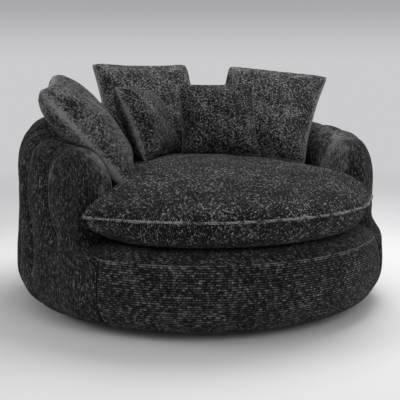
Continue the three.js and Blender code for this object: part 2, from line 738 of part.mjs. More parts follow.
function makeSwivelBase() {
  const top = PLINTH_Z + PLINTH_T;
  let plinth = solidOf(disc(PLINTH_R, PLINTH_T, PLINTH_Z));
  plinth = drilled(plinth, PIN_HEAD_R + GAP, PLINTH_Z - OVERRUN, top + OVERRUN);
  for (const [x, y] of screwPlaces) {
    plinth = drilled(plinth, SCREW_R + GAP, PLINTH_Z - OVERRUN, top + OVERRUN, x, y);
  }
  add("plinth_disc", plinth, blackBoard);
  for (let i = 0; i < GLIDE_COUNT; i++) {
    const pad = add(`glide_${i + 1}`, disc(GLIDE_R, GLIDE_H, 0, GLIDE_STEPS), blackPlastic);
    pad.position.copy(polar(((i + 0.5) * 360) / GLIDE_COUNT, PLINTH_R - GLIDE_INSET, 0));
  }
  add("lower_plate", swivelPlate(LOWER_PLATE_Z, 1), zincSteel);
  add("upper_plate", swivelPlate(UPPER_PLATE_Z, -1), zincSteel);

  const cageSection = [
    [RACE_R - CAGE_HALF, BALL_Z - CAGE_T / 2],
    [RACE_R + CAGE_HALF, BALL_Z - CAGE_T / 2],
    [RACE_R + CAGE_HALF, BALL_Z + CAGE_T / 2],
    [RACE_R - CAGE_HALF, BALL_Z + CAGE_T / 2],
  ];
  let cage = solidOf(turned(cageSection, RACE_STEPS));
  for (let i = 0; i < BALL_COUNT; i++) {
    const place = polar((i * 360) / BALL_COUNT, RACE_R, BALL_Z);
    const ball = new THREE.SphereGeometry(BALL_R, 6, 4).rotateX(Math.PI / 2);
    ball.translate(place.x, place.y, place.z);
    cage = cage.add(solidOf(ball));
  }
  add("ball_ring", cage, zincSteel);

  const pinTop = UPPER_PLATE_Z + STEEL + PLAY;
  const pin = [
    [0, LOWER_PLATE_Z - GAP - PIN_HEAD_T],
    [PIN_HEAD_R, LOWER_PLATE_Z - GAP - PIN_HEAD_T],
    [PIN_HEAD_R, LOWER_PLATE_Z - GAP],
    [PIN_R, LOWER_PLATE_Z - GAP],
    [PIN_R, pinTop],
    [PIN_HEAD_R, pinTop],
    [PIN_HEAD_R * HEAD_TOP_SHARE, pinTop + PIN_HEAD_T],
    [0, pinTop + PIN_HEAD_T],
  ];
  add("centre_pin", turned(pin, 2 * SMALL_STEPS), zincSteel);

  screwPlaces.forEach(([x, y], i) => {
    const lower = add(`lower_screw_${i + 1}`, screw(LOWER_SCREW_LENGTH).rotateX(Math.PI), zincSteel);
    lower.position.set(x, y, LOWER_PLATE_Z + STEEL + GAP);
    const upper = add(`upper_screw_${i + 1}`, screw(UPPER_SCREW_LENGTH), zincSteel);
    upper.position.set(x, y, UPPER_PLATE_Z - GAP);
  });
}

function makeFrame() {
  let board = solidOf(disc(BOARD_R, PLY, BOARD_Z));
  board = drilled(board, PIN_HEAD_R + PLAY, BOARD_Z - OVERRUN, BOARD_TOP + OVERRUN);
  for (const [x, y] of screwPlaces) {
    board = drilled(board, SCREW_R + GAP, BOARD_Z - OVERRUN, BOARD_TOP + OVERRUN, x, y);
  }
  add("base_board", board, birch);
  const dustIn = (PLATE * Math.SQRT2) / 2 + CLOTH;
  const dustOut = HEM_R - HEM_WIDTH - CLOTH;
  const dustTop = BOARD_Z - GAP;
  const dust = [
    [dustIn, dustTop - CAMBRIC],
    [dustOut, dustTop - CAMBRIC],
    [dustOut, dustTop],
    [dustIn, dustTop],
  ];
  add("dust_cover", turned(dust), cambric);

  const railZ = BOARD_TOP + GAP;
  const sideLength = BACK_RAIL_Y - FRONT_RAIL_Y + RAIL_T;
  const sideY = (BACK_RAIL_Y + FRONT_RAIL_Y) / 2;
  for (const [name, sign] of [["left", -1], ["right", 1]]) {
    const rail = box(RAIL_T, sideLength, RAIL_TOP - railZ, sign * SIDE_RAIL_X, sideY, railZ);
    add(`side_rail_${name}`, rail, birch);
  }
  const crossLength = 2 * SIDE_RAIL_X - RAIL_T - 2 * GAP;
  add("front_rail", box(crossLength, RAIL_T, RAIL_H, 0, FRONT_RAIL_Y, RAIL_TOP - RAIL_H), birch);
  add("back_rail", box(crossLength, RAIL_T, RAIL_H, 0, BACK_RAIL_Y, RAIL_TOP - RAIL_H), birch);

  const railSection = (deg) => {
    const top = rollHeight(deg) - TOP_RAIL_DROP;
    return [
      [ROLL_R - TOP_RAIL_HALF, top - PLY],
      [ROLL_R + TOP_RAIL_HALF, top - PLY],
      [ROLL_R + TOP_RAIL_HALF, top],
      [ROLL_R - TOP_RAIL_HALF, top],
    ];
  };
  const ribSpan = ((RIB_COUNT - 1) / 2) * RIB_DEG;
  const railEnd = ribSpan + radToDeg(PLY / ROLL_R);
  const railSteps = ROLL_COLUMNS;
  add("top_rail", swept(railSection, -railEnd, railEnd, railSteps), birch);
  // The rail is straight between its bends, and a rib ends under the lowest place that it carries.
  const bendDeg = (2 * railEnd) / railSteps;
  const railHeight = (deg) => {
    const before = Math.floor((deg + railEnd) / bendDeg) * bendDeg - railEnd;
    const roll = lerp(rollHeight(before), rollHeight(before + bendDeg), (deg - before) / bendDeg);
    return roll - TOP_RAIL_DROP - PLY;
  };
  const halfRibDeg = radToDeg(PLY / 2 / RIB_IN_R);
  for (let i = 0; i < RIB_COUNT; i++) {
    const deg = (i - (RIB_COUNT - 1) / 2) * RIB_DEG;
    const top = Math.min(...[-1, 0, 1].map((side) => railHeight(deg + side * halfRibDeg))) - RIB_CLEAR;
    const shoulderZ = top - RIB_SHOULDER;
    const outline = new THREE.Shape();
    outline.moveTo(RIB_IN_R, railZ);
    outline.lineTo(BOARD_R, railZ);
    outline.quadraticCurveTo(RIB_OUT_R, railZ, RIB_OUT_R, RIB_FOOT_Z);
    outline.lineTo(RIB_OUT_R, shoulderZ);
    outline.lineTo(ROLL_R + TOP_RAIL_HALF, top);
    outline.lineTo(ROLL_R - TOP_RAIL_HALF, top);
    outline.lineTo(RIB_IN_R, shoulderZ);
    outline.closePath();
    const rib = new THREE.ExtrudeGeometry(outline, { depth: PLY, bevelEnabled: false, curveSegments: 4 })
      .translate(0, 0, -PLY / 2)
      .rotateX(Math.PI / 2)
      .rotateZ(Math.PI / 2 - degToRad(deg));
    add(`rib_${i + 1}`, rib, birch);
  }
  const linerSection = (deg) => {
    const top = rollHeight(deg) - LINER_TOP_DROP;
    return [
      [RIB_IN_R - GAP - HARDBOARD, LINER_Z],
      [RIB_IN_R - GAP, LINER_Z],
      [RIB_IN_R - GAP, top],
      [RIB_IN_R - GAP - HARDBOARD, top],
    ];
  };
  // The liner bends at the same angles as the hollow of the foam that it closes.
  const linerEnd = FRAME_END_DEG * (1 - 2 / ROLL_COLUMNS);
  add("back_liner", swept(linerSection, -linerEnd, linerEnd, ROLL_COLUMNS - 2), brownBoard);
}

/** A zigzag spring bowed upwards from the front rail to the back rail, with the clip that holds each end. */
function zigzagSpring(x) {
  const pitch = (BACK_RAIL_Y - FRONT_RAIL_Y) / (SPRING_RUNS - 1);
  const bendR = pitch / 2;
  const path = [];
  for (let run = 0; run < SPRING_RUNS; run++) {
    const side = run % 2 === 0 ? 1 : -1;
    const y = FRONT_RAIL_Y + run * pitch;
    path.push([-side * (SPRING_HALF_WIDTH - bendR), y], [side * (SPRING_HALF_WIDTH - bendR), y]);
    if (run + 1 === SPRING_RUNS) continue;
    for (let k = 1; k < BEND_STEPS; k++) {
      const turn = (Math.PI * k) / BEND_STEPS;
      path.push([side * (SPRING_HALF_WIDTH - bendR * (1 - Math.sin(turn))), y + bendR * (1 - Math.cos(turn))]);
    }
  }
  const arch = (y) => SPRING_ARCH * Math.sin((Math.PI * (y - FRONT_RAIL_Y)) / (BACK_RAIL_Y - FRONT_RAIL_Y));
  const points = path.map(([px, py]) => new THREE.Vector3(x + px, py, WIRE_Z + arch(py)));
  const rings = points.map((point, i) => {
    const ahead = points[Math.min(i + 1, points.length - 1)];
    const behind = points[Math.max(i - 1, 0)];
    const along = ahead.clone().sub(behind).setZ(0).normalize();
    const sideways = new THREE.Vector3(-along.y, along.x, 0);
    const side = sideways.multiplyScalar(WIRE_R);
    const up = new THREE.Vector3(0, 0, WIRE_R);
    return [point.clone().add(side), point.clone().add(up), point.clone().sub(side), point.clone().sub(up)];
  });
  let spring = solidOf(joined(rings, [[0, 1, 2], [0, 2, 3]]));
  for (const y of [FRONT_RAIL_Y, BACK_RAIL_Y]) {
    const clip = box(CLIP_LENGTH, CLIP_DEPTH, 2 * (CLIP_T + WIRE_R), x, y, RAIL_TOP + GAP);
    spring = spring.add(solidOf(clip));
  }
  return spring;
}

function makeSprings() {
  for (let i = 0; i < SPRING_COUNT; i++) {
    add(`spring_${i + 1}`, zigzagSpring((i - (SPRING_COUNT - 1) / 2) * SPRING_PITCH), springSteel);
  }
  const width = 2 * SIDE_RAIL_X + RAIL_T;
  const length = BACK_RAIL_Y - FRONT_RAIL_Y + RAIL_T;
  add("spring_felt", box(width, length, FELT_T, 0, (BACK_RAIL_Y + FRONT_RAIL_Y) / 2, FELT_Z), felt);
}

/** The seat cushion taken in by a shell's thickness and an inset at its seam, or let out by negative ones. */
function seatSolid(shell, seamInset) {
  const kept = (_, i) => shell <= 0 || i % 2 === 0;
  const outline = seatOutline({
    frontR: SEAT_FRONT_R,
    leftEarR: SEAT_EAR_LEFT_R,
    rightEarR: SEAT_EAR_RIGHT_R,
    backR: BACK_SEAM_R,
    clear: SEAT_CLEAR,
  });
  const under = SEAT_SEAM_Z - DECK_Z - GAP - shell;
  const top = SEAT_CROWN - shell;
  const ringAt = (out, height) => outlineRing(outline, out, seamInset, SEAT_SEAM_Z + height);
  const topRing = ([out, up]) =>
    outlineRing(outline, out, seamInset, (point) => {
      const towardsBack = THREE.MathUtils.clamp(point.y / BACK_SEAM_R, 0, 1);
      return SEAT_SEAM_Z + top * up ** lerp(1, SEAT_BACK_POWER, towardsBack);
    });
  const rings = [
    ...SEAT_UNDER_SHARES.filter(kept).map(([out, down]) => ringAt(out, -under * down)),
    ringAt(1, 0),
    ...SEAT_TOP_SHARES.filter(kept).map(topRing),
  ];
  const middle = (z) => new THREE.Vector3(0, SEAT_CENTRE_Y, z);
  return solidOf(domed(middle(SEAT_SEAM_Z - under), rings, middle(SEAT_SEAM_Z + top)));
}

/** A ring section in radius and height round the seam's height, swept along the zip. */
function alongZip(section, halfDeg, steps = ZIP_STEPS) {
  return swept(() => section.map(([r, z]) => [r, SEAT_SEAM_Z + z]), -halfDeg, halfDeg, steps);
}

function rectangle(r0, r1, half) {
  return [[r0, -half], [r1, -half], [r1, half], [r0, half]];
}

function makeSeatCushion() {
  const zipSeat = solidOf(alongZip(rectangle(ZIP_R, ZIP_R + 2 * ZIP_SEAT_IN, ZIP_SEAT_HALF), ZIP_DEG));
  const slotSection = rectangle(ZIP_R - 2 * TAPE_WIDTH, ZIP_R + ZIP_SEAT_IN, TAPE_T / 2 + GAP);
  const slot = solidOf(alongZip(slotSection, ZIP_DEG));
  const outside = seatSolid(0, 0);
  const hollow = seatSolid(SEAT_SHELL, SEAT_SEAM_INSET);
  add("seat_cushion_cover", outside.subtract(hollow).subtract(zipSeat).subtract(slot), chenille);
  const core = seatSolid(SEAT_SHELL + GAP, SEAT_SEAM_INSET + TAPE_WIDTH);
  add("seat_cushion_core", core, fibre);

  const beadIn = ZIP_R + GAP + PLAY;
  const beadOut = beadIn + BEAD_WIDTH;
  const tapeAndBead = [
    [ZIP_R - TAPE_WIDTH, -TAPE_T / 2],
    [beadIn, -TAPE_T / 2],
    [beadIn, -BEAD_T / 2],
    [beadOut, -BEAD_T / 2],
    [beadOut, BEAD_T / 2],
    [beadIn, BEAD_T / 2],
    [beadIn, TAPE_T / 2],
    [ZIP_R - TAPE_WIDTH, TAPE_T / 2],
  ];
  const zipEnd = ZIP_DEG - radToDeg(GAP / ZIP_R);
  add("seat_zip", alongZip(tapeAndBead, zipEnd), blackPlastic);

  const channel = BEAD_T / 2 + PLAY;
  const half = channel + SLIDER_WALL;
  const out = beadOut + ZIP_PLAY;
  const sliderIn = ZIP_R + PLAY;
  const body = [
    [sliderIn, -half],
    [out + SLIDER_WALL, -half],
    [out + SLIDER_WALL, half],
    [sliderIn, half],
    [sliderIn, channel],
    [out, channel],
    [out, -channel],
    [sliderIn, -channel],
  ];
  const pullOut = out + SLIDER_WALL;
  const pullZ = SEAT_SEAM_Z - half - PULL_LENGTH + PULL_T;
  const pull = box(PULL_WIDTH, PULL_T, PULL_LENGTH, 0, pullOut - PULL_T / 2, pullZ);
  const lug = box(PULL_WIDTH, SLIDER_WALL, 2 * PULL_T, 0, pullOut - PULL_T, SEAT_SEAM_Z - half - PULL_T / 2);
  const slider = solidOf(alongZip(body, SLIDER_HALF_DEG, 1)).add(solidOf(pull)).add(solidOf(lug));
  add("seat_zip_slider", slider, blackPlastic).rotation.z = degToRad(ZIP_DEG - 2 * SLIDER_HALF_DEG);
}

/** A scatter cushion lying at the origin, taken in by a shell's thickness and by an inset at its seam. */
function pillow(size, loft, sidePoints, shares, shell, seamInset) {
  const half = size / 2 - seamInset;
  const height = loft / 2 - shell;
  const corners = [
    [1, -1],
    [1, 1],
    [-1, 1],
    [-1, -1],
  ];
  const thin = (t) => (1 - Math.abs(t) ** CORNER_POWER) ** LOFT_POWER;
  const ring = (share, up) => {
    const points = [];
    for (let side = 0; side < 4; side++) {
      const [from, to] = [corners[side], corners[(side + 1) % 4]];
      for (let k = 0; k < sidePoints; k++) {
        const along = k / sidePoints;
        const u = lerp(from[0], to[0], along) * share;
        const v = lerp(from[1], to[1], along) * share;
        const drawn = 1 - DRAWN_IN_SHARE * 4 * along * (1 - along);
        points.push(new THREE.Vector3(u * drawn * half, v * drawn * half, up * height * thin(u) * thin(v)));
      }
    }
    return points;
  };
  const rings = [
    ...[...shares].reverse().map((share) => ring(share, -1)),
    ring(1, 0),
    ...shares.map((share) => ring(share, 1)),
  ];
  return domed(new THREE.Vector3(0, 0, -height), rings, new THREE.Vector3(0, 0, height));
}

/** The matrix that stands a scatter cushion in its place: x across it, y up it, z out of its face. */
function placeOf({ place_shares, facing, lean, roll }) {
  const [x, y, z] = place_shares;
  const turn = new THREE.Matrix4()
    .makeRotationZ(degToRad(facing))
    .multiply(new THREE.Matrix4().makeRotationX(Math.PI / 2 - degToRad(lean)))
    .multiply(new THREE.Matrix4().makeRotationZ(degToRad(roll)));
  return turn.setPosition(x * ROLL_IN_R, y * ROLL_IN_R, z * ARM_H);
}

/** Cuts a cushion flat behind, where it leans on the arms and back. */
function flatBehind(solid, place, size, depth) {
  const slab = box(2 * size, 2 * size, size, 0, 0, -depth - size).applyMatrix4(place);
  return solid.subtract(solidOf(slab));
}

/** How far behind its middle a cushion reaches when it just meets the arms and back, at most half its loft. */
function depthBehind(solid, place, size, loft, wall) {
  if (solid.intersect(wall).isEmpty()) return loft / 2;
  let [clear, met] = [0, loft / 2];
  for (let i = 0; i < LEAN_HALVINGS; i++) {
    const depth = (clear + met) / 2;
    if (flatBehind(solid, place, size, depth).intersect(wall).isEmpty()) clear = depth;
    else met = depth;
  }
  return clear;
}

function makeScatterCushions() {
  const wall = rollSolid(pleatColumns(), { out: -GAP, inset: -GAP });
  for (const [name, cushion] of Object.entries(SCATTERS)) {
    const { size, loft } = cushion;
    const place = placeOf(cushion);
    const standing = (sidePoints, shares, shell, seamInset) => {
      const whole = pillow(size, loft, sidePoints, shares, shell, seamInset).applyMatrix4(place);
      return solidOf(whole).subtract(seatSolid(-GAP - shell, -GAP - shell));
    };
    const outside = standing(SCATTER_SIDE_POINTS, SCATTER_SHARES, 0, 0);
    const depth = depthBehind(outside, place, size, loft, wall);
    const inside = (shell, seamInset) => {
      const form = standing(PAD_SIDE_POINTS, PAD_SHARES, shell, seamInset);
      return flatBehind(form, place, size, depth - shell);
    };
    const hollow = inside(SCATTER_SHELL, SCATTER_SEAM_INSET);
    const slit = box(SLIT_DEPTH, size * SLIT_SHARE, SLIT_WIDTH, (size - SLIT_DEPTH) / 2, 0, -SLIT_WIDTH / 2);
    const cover = flatBehind(outside, place, size, depth).subtract(hollow);
    add(`${name}_cover`, cover.subtract(solidOf(slit.applyMatrix4(place))), chenille);
    add(`${name}_pad`, inside(SCATTER_SHELL + GAP, SCATTER_SEAM_INSET + GAP), fibre);
  }
}

makeSwivelBase();
makeFrame();
makeSprings();
makeCoversAndFoam();
makeFrontBorder();
makeDeck();
makeSeatCushion();
makeScatterCushions();

export default chair;
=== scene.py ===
"""A round cuddle chair in charcoal chenille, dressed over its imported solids.

Metres, +Z up, the origin on the floor under the middle of the drum, the seat's opening towards -Y. Angles round the
drum count in degrees from the middle of the back, clockwise seen from above, so the opening is at 180.
"""

import json
import logging
import math
from dataclasses import dataclass, field, replace
from enum import Enum
from typing import Callable

import bmesh
import bpy
import numpy as np
from mathutils import Matrix, Vector, noise
from mathutils.bvhtree import BVHTree


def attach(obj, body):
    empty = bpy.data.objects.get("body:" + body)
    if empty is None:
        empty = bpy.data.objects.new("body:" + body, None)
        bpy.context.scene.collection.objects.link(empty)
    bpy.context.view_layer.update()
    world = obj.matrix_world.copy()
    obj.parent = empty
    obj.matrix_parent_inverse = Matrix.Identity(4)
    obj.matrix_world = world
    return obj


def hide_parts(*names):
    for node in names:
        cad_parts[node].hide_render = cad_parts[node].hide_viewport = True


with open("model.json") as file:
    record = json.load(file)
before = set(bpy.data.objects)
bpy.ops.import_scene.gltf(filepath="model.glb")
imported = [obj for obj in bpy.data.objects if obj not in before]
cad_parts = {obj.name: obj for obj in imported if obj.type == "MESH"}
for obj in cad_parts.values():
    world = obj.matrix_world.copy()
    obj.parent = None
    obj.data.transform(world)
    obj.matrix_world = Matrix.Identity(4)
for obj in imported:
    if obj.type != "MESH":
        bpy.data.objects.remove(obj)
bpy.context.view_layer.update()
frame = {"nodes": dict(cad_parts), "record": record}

log = logging.getLogger("cuddle_chair")

YARN_MAP = "yarn"
# Painted highlight: a point attribute that draws the chenille paler where seams and crests would catch the light
PAINTED_HIGHLIGHT = "painted_highlight"  # from 0 to 1 where seams and crests catch the light
MERGE = 1e-5  # points nearer than this become one


# Shapes that several pieces share


def polar(deg: np.ndarray, r: np.ndarray, z: np.ndarray) -> np.ndarray:
    """Points at angles from the middle of the back, clockwise seen from above.

    Args:
        deg: Angles in degrees.
        r: Radii.
        z: Heights.

    Returns:
        An array of points, one more axis than the widest argument.
    """
    turn = np.radians(deg)
    x, y, z = np.broadcast_arrays(r * np.sin(turn), r * np.cos(turn), z)
    return np.stack([x, y, z], axis=-1)


def smoothstep(low: float, high: float, value: np.ndarray) -> np.ndarray:
    """A soft step from 0 below low to 1 above high, or the other way where low is the larger."""
    share = np.clip((value - low) / (high - low), 0.0, 1.0)
    return share * share * (3.0 - 2.0 * share)


def resampled(line: np.ndarray, count: int, closed: bool = False) -> np.ndarray:
    """A line of points with count points at equal distances.

    Args:
        line: Points along the line, in order.
        count: How many points the result has.
        closed: True where the last point joins the first, which then isn't repeated.

    Returns:
        The points, count by the line's dimensions.
    """
    run = np.vstack([line, line[:1]]) if closed else line
    lengths = np.concatenate([[0.0], np.cumsum(np.linalg.norm(np.diff(run, axis=0), axis=1))])
    stops = np.linspace(0.0, lengths[-1], count + 1)[:-1] if closed else np.linspace(0.0, lengths[-1], count)
    return np.stack([np.interp(stops, lengths, run[:, axis]) for axis in range(run.shape[1])], axis=1)


def rumple(points: np.ndarray, size: float, seed: float, octaves: int = 2) -> np.ndarray:
    """Smooth uneven values from -1 to 1 at points, the same each time.

    Args:
        points: Points in metres, in any array shape whose last axis is x, y, z.
        size: Distance over which the values change, in metres.
        seed: Shifts the pattern, so that pieces differ.
        octaves: How many finer layers are added.

    Returns:
        One value for each point.
    """
    flat = points.reshape(-1, 3) / size + seed
    values = [noise.fractal(Vector(p), 1.0, 2.0, octaves, noise_basis="PERLIN_ORIGINAL") for p in flat]
    return np.array(values).reshape(points.shape[:-1])


def grid_normals(points: np.ndarray, flip: bool) -> np.ndarray:
    """Unit normals of a grid of points, from its neighbours along and across.

    Args:
        points: Rows by columns by 3.
        flip: True where the grid's own normals point inwards.

    Returns:
        Rows by columns by 3.
    """
    across = np.gradient(points, axis=1)
    up = np.gradient(points, axis=0)
    normals = np.cross(across, up)
    normals /= np.maximum(np.linalg.norm(normals, axis=-1, keepdims=True), 1e-12)
    return -normals if flip else normals


def woven_sheet(
    name: str,
    points: np.ndarray,
    yarn: np.ndarray,
    keep: np.ndarray | None = None,
    painted_highlight: np.ndarray | None = None,
    flip: bool = False,
    closed_body: bool = False,
) -> bpy.types.Object:
    """A grid shaped into a sheet of cloth, with the yarn's run as its UV map.

    Args:
        name: The object's name.
        points: Rows by columns by 3.
        yarn: Rows by columns by 2: metres along the yarn and across it.
        keep: Rows - 1 by columns - 1 flags of the faces that stay, or None for all.
        painted_highlight: Rows by columns, how much painted highlight each point gets where it would catch the light,
            or None for nowhere.
        flip: True where the grid's own normals point inwards.
        closed_body: True where the merged sheet closes on itself.

    Returns:
        The object, at the origin.
    """
    rows, columns = points.shape[:2]
    bm = bmesh.new()
    yarn_layer = bm.loops.layers.uv.new(YARN_MAP)
    # Painted highlight: how much paler each point's chenille is drawn
    highlight_layer = bm.verts.layers.float.new(PAINTED_HIGHLIGHT)
    bmesh.ops.create_grid(bm, x_segments=columns - 1, y_segments=rows - 1, size=1.0)
    place = {}
    for vert in bm.verts:
        column = round((vert.co.x + 1.0) / 2.0 * (columns - 1))
        row = round((vert.co.y + 1.0) / 2.0 * (rows - 1))
        place[vert] = (row, column)
    for face in bm.faces:
        for loop in face.loops:
            loop[yarn_layer].uv = yarn[place[loop.vert]]
    if keep is not None:
        gone = [f for f in bm.faces if not keep[tuple(np.min([place[v] for v in f.verts], axis=0))]]
        bmesh.ops.delete(bm, geom=gone, context="FACES")
    for vert in bm.verts:
        vert.co = points[place[vert]]
        if painted_highlight is not None:
            vert[highlight_layer] = painted_highlight[place[vert]]
    bmesh.ops.remove_doubles(bm, verts=bm.verts, dist=MERGE)
    if closed_body:
        bmesh.ops.recalc_face_normals(bm, faces=bm.faces)
    elif flip:
        bmesh.ops.reverse_faces(bm, faces=bm.faces)
    return finished(name, bm)


def finished(name: str, bm: bmesh.types.BMesh) -> bpy.types.Object:
    """An object at the origin from a bmesh, shaded smooth and linked to the scene.

    Args:
        name: The object's name.
        bm: Its mesh, which is freed.

    Returns:
        The object.
    """
    for face in bm.faces:
        face.smooth = True
    mesh = bpy.data.meshes.new(name)
    bm.to_mesh(mesh)
    bm.free()
    piece = bpy.data.objects.new(name, mesh)
    bpy.context.scene.collection.objects.link(piece)
    return piece


def line_with_thickness(piece: bpy.types.Object, thickness: float) -> None:
    """Gives a sheet a wall on its inner side.

    Args:
        piece: The sheet.
        thickness: The wall's thickness in metres.
    """
    wall = piece.modifiers.new("wall", "SOLIDIFY")
    wall.thickness = thickness
    wall.offset = -1.0
    wall.use_rim = True


def subdivided(piece: bpy.types.Object) -> None:
    """Adds one subdivision, the same in the view and in the render.

    Args:
        piece: The piece.
    """
    finer = piece.modifiers.new("subdivision", "SUBSURF")
    finer.levels = 1
    finer.render_levels = 1


def surface_of(*pieces: bpy.types.Object) -> BVHTree:
    """A search tree of the faces of one or more pieces.

    Args:
        pieces: The pieces, each at the origin.

    Returns:
        The tree.
    """
    bm = bmesh.new()
    for piece in pieces:
        bm.from_mesh(piece.data)
    tree = BVHTree.FromBMesh(bm)
    bm.free()
    return tree


# Materials

# Noise of the chenille, in waves to the metre, and how far its fuzz leaves the row in metres
WANDER_WAVES = 16.0
FUZZ_WAVES = 330.0
FUZZ_REACH = 0.0045
FIBRE_WAVES = 420.0
ROW_SHIFT = 61.0  # tufts by which a row is moved along against the next, at most
ROW_APART = 3.7  # how far apart in the noise two rows are, so that their tufts differ
GREY = (0.5, 0.5, 0.5)  # the middle of a noise


class Graph:
    """A node tree with short ways to add nodes and to link them."""

    def __init__(self, tree: bpy.types.NodeTree) -> None:
        """Keeps the tree."""
        self.tree = tree

    def node(self, kind: str, inputs: dict | None = None, **settings: object) -> bpy.types.Node:
        """Adds a node.

        Args:
            kind: Blender's name of the node type.
            inputs: Values or output sockets by the input's name or number.
            settings: The node's own settings.

        Returns:
            The node.
        """
        made = self.tree.nodes.new(kind)
        for name, value in settings.items():
            setattr(made, name, value)
        for key, value in (inputs or {}).items():
            self.feed(made.inputs[key], value)
        return made

    def feed(self, socket: bpy.types.NodeSocket, value: object) -> None:
        """Links an output socket to an input, or sets the input's value.

        Args:
            socket: The input.
            value: An output socket, a number, a colour or a vector.
        """
        if isinstance(value, bpy.types.NodeSocket):
            self.tree.links.new(value, socket)
        elif socket.type == "RGBA" and len(value) == 3:
            socket.default_value = (*value, 1.0)
        else:
            socket.default_value = value

    def math(self, operation: str, *values: object, clamp: bool = False) -> bpy.types.NodeSocket:
        """Adds a Math node.

        Args:
            operation: Blender's name of the operation.
            values: Output sockets or numbers.
            clamp: True where the result stays between 0 and 1.

        Returns:
            Its result.
        """
        made = self.tree.nodes.new("ShaderNodeMath")
        made.operation = operation
        made.use_clamp = clamp
        for socket, value in zip(made.inputs, values):
            self.feed(socket, value)
        return made.outputs[0]

    def noise(self, vector: object, scale: float, detail: float = 2.0, roughness: float = 0.5) -> bpy.types.NodeSocket:
        """Adds a Noise Texture.

        Args:
            vector: The place.
            scale: Waves to the unit.
            detail: How many finer layers it has.
            roughness: How strong these are.

        Returns:
            Its value.
        """
        made = self.node(
            "ShaderNodeTexNoise", {"Vector": vector, "Scale": scale, "Detail": detail, "Roughness": roughness}
        )
        return made.outputs["Fac"]

    def step(
        self, value: object, low: float, high: float, to_low: float = 0.0, to_high: float = 1.0
    ) -> bpy.types.NodeSocket:
        """Adds a soft step.

        Args:
            value: What it follows.
            low: Where it starts.
            high: Where it ends.
            to_low: The result below low.
            to_high: The result above high.

        Returns:
            Its result.
        """
        made = self.node(
            "ShaderNodeMapRange",
            {"Value": value, "From Min": low, "From Max": high, "To Min": to_low, "To Max": to_high},
            interpolation_type="SMOOTHSTEP",
        )
        return made.outputs["Result"]

    def blend(self, share: object, first: object, second: object) -> bpy.types.NodeSocket:
        """Mixes two colours.

        Args:
            share: From 0 for the first to 1 for the second.
            first: A colour.
            second: A colour.

        Returns:
            The colour between them.
        """
        made = self.tree.nodes.new("ShaderNodeMix")
        made.data_type = "RGBA"
        self.feed(made.inputs["Factor"], share)
        colours = [socket for socket in made.inputs if socket.type == "RGBA"]
        self.feed(colours[0], first)
        self.feed(colours[1], second)
        return next(socket for socket in made.outputs if socket.type == "RGBA")


def new_group(name: str, inputs: dict[str, str], outputs: dict[str, str]) -> tuple[bpy.types.NodeTree, Graph]:
    """An empty shader node group with named sockets.

    Args:
        name: The group's name.
        inputs: Socket types by name.
        outputs: Socket types by name.

    Returns:
        The group and its graph.
    """
    group = bpy.data.node_groups.new(name, "ShaderNodeTree")
    for sockets, way in ((inputs, "INPUT"), (outputs, "OUTPUT")):
        for socket_name, kind in sockets.items():
            group.interface.new_socket(name=socket_name, in_out=way, socket_type=kind)
    return group, Graph(group)


def chenille_rows_group() -> bpy.types.NodeTree:
    """Chenille yarn in rows: tufts that catch the light, the rows' round backs, and places crushed one way.

    Returns:
        The group. Yarn is metres along and across the rows.
    """
    number, vector = "NodeSocketFloat", "NodeSocketVector"
    group, graph = new_group(
        "chenille_rows",
        {
            "Yarn": vector,
            "Pitch": number,
            "Tuft": number,
            "Wander": number,
            "Patch": number,
            "Crush": number,
            "Amount": number,
            "Base": number,
        },
        {"Shade": number, "Height": number},
    )
    given = graph.node("NodeGroupInput").outputs
    pile = given["Yarn"]
    for waves, detail, reach in ((WANDER_WAVES, 2.0, given["Wander"]), (FUZZ_WAVES, 1.0, FUZZ_REACH)):
        drift = graph.node("ShaderNodeTexNoise", {"Vector": given["Yarn"], "Scale": waves, "Detail": detail})
        centred = graph.node("ShaderNodeVectorMath", {0: drift.outputs["Color"], 1: GREY}, operation="SUBTRACT")
        moved = graph.node("ShaderNodeVectorMath", {0: centred.outputs[0]}, operation="SCALE")
        graph.feed(moved.inputs["Scale"], reach)
        pile = graph.node("ShaderNodeVectorMath", {0: pile, 1: moved.outputs[0]}, operation="ADD").outputs[0]
    split = graph.node("ShaderNodeSeparateXYZ", {0: pile}).outputs
    across = graph.math("DIVIDE", split["Y"], given["Pitch"])
    row = graph.math("FLOOR", across)
    back = graph.math("SINE", graph.math("MULTIPLY", graph.math("FRACT", across), math.pi))
    shift = graph.node("ShaderNodeTexWhiteNoise", {"W": row}, noise_dimensions="1D").outputs["Value"]
    along = graph.math("ADD", graph.math("DIVIDE", split["X"], given["Tuft"]), graph.math("MULTIPLY", shift, ROW_SHIFT))
    apart = graph.math("MULTIPLY", row, ROW_APART)
    tuft_place = graph.node("ShaderNodeCombineXYZ", {"X": along, "Y": apart}).outputs[0]
    tuft = graph.noise(tuft_place, 1.0, 3.0, 0.75)
    patch_place = graph.node("ShaderNodeVectorMath", {0: given["Yarn"]}, operation="SCALE")
    graph.feed(patch_place.inputs["Scale"], graph.math("DIVIDE", 1.0, given["Patch"]))
    crush = graph.noise(patch_place.outputs[0], 1.0, 4.0, 0.6)
    fibre = graph.noise(given["Yarn"], FIBRE_WAVES, 2.0, 0.7)
    lit = graph.math("ADD", tuft, graph.math("MULTIPLY", graph.math("SUBTRACT", crush, 0.5), given["Crush"]))
    lit = graph.math("ADD", lit, graph.math("MULTIPLY", graph.math("SUBTRACT", fibre, 0.5), 0.4))
    streak = graph.math("MULTIPLY", graph.math("SUBTRACT", lit, 0.5), given["Amount"])
    shade = graph.math("ADD", streak, graph.math("MULTIPLY", graph.math("SUBTRACT", back, 0.62), 0.75))
    shade = graph.math("ADD", shade, given["Base"], clamp=True)
    height = graph.math("ADD", graph.math("MULTIPLY", back, 0.5), graph.math("MULTIPLY", tuft, 0.9))
    height = graph.math("ADD", height, graph.math("MULTIPLY", fibre, 0.6))
    graph.node("NodeGroupOutput", {"Shade": shade, "Height": height})
    return group


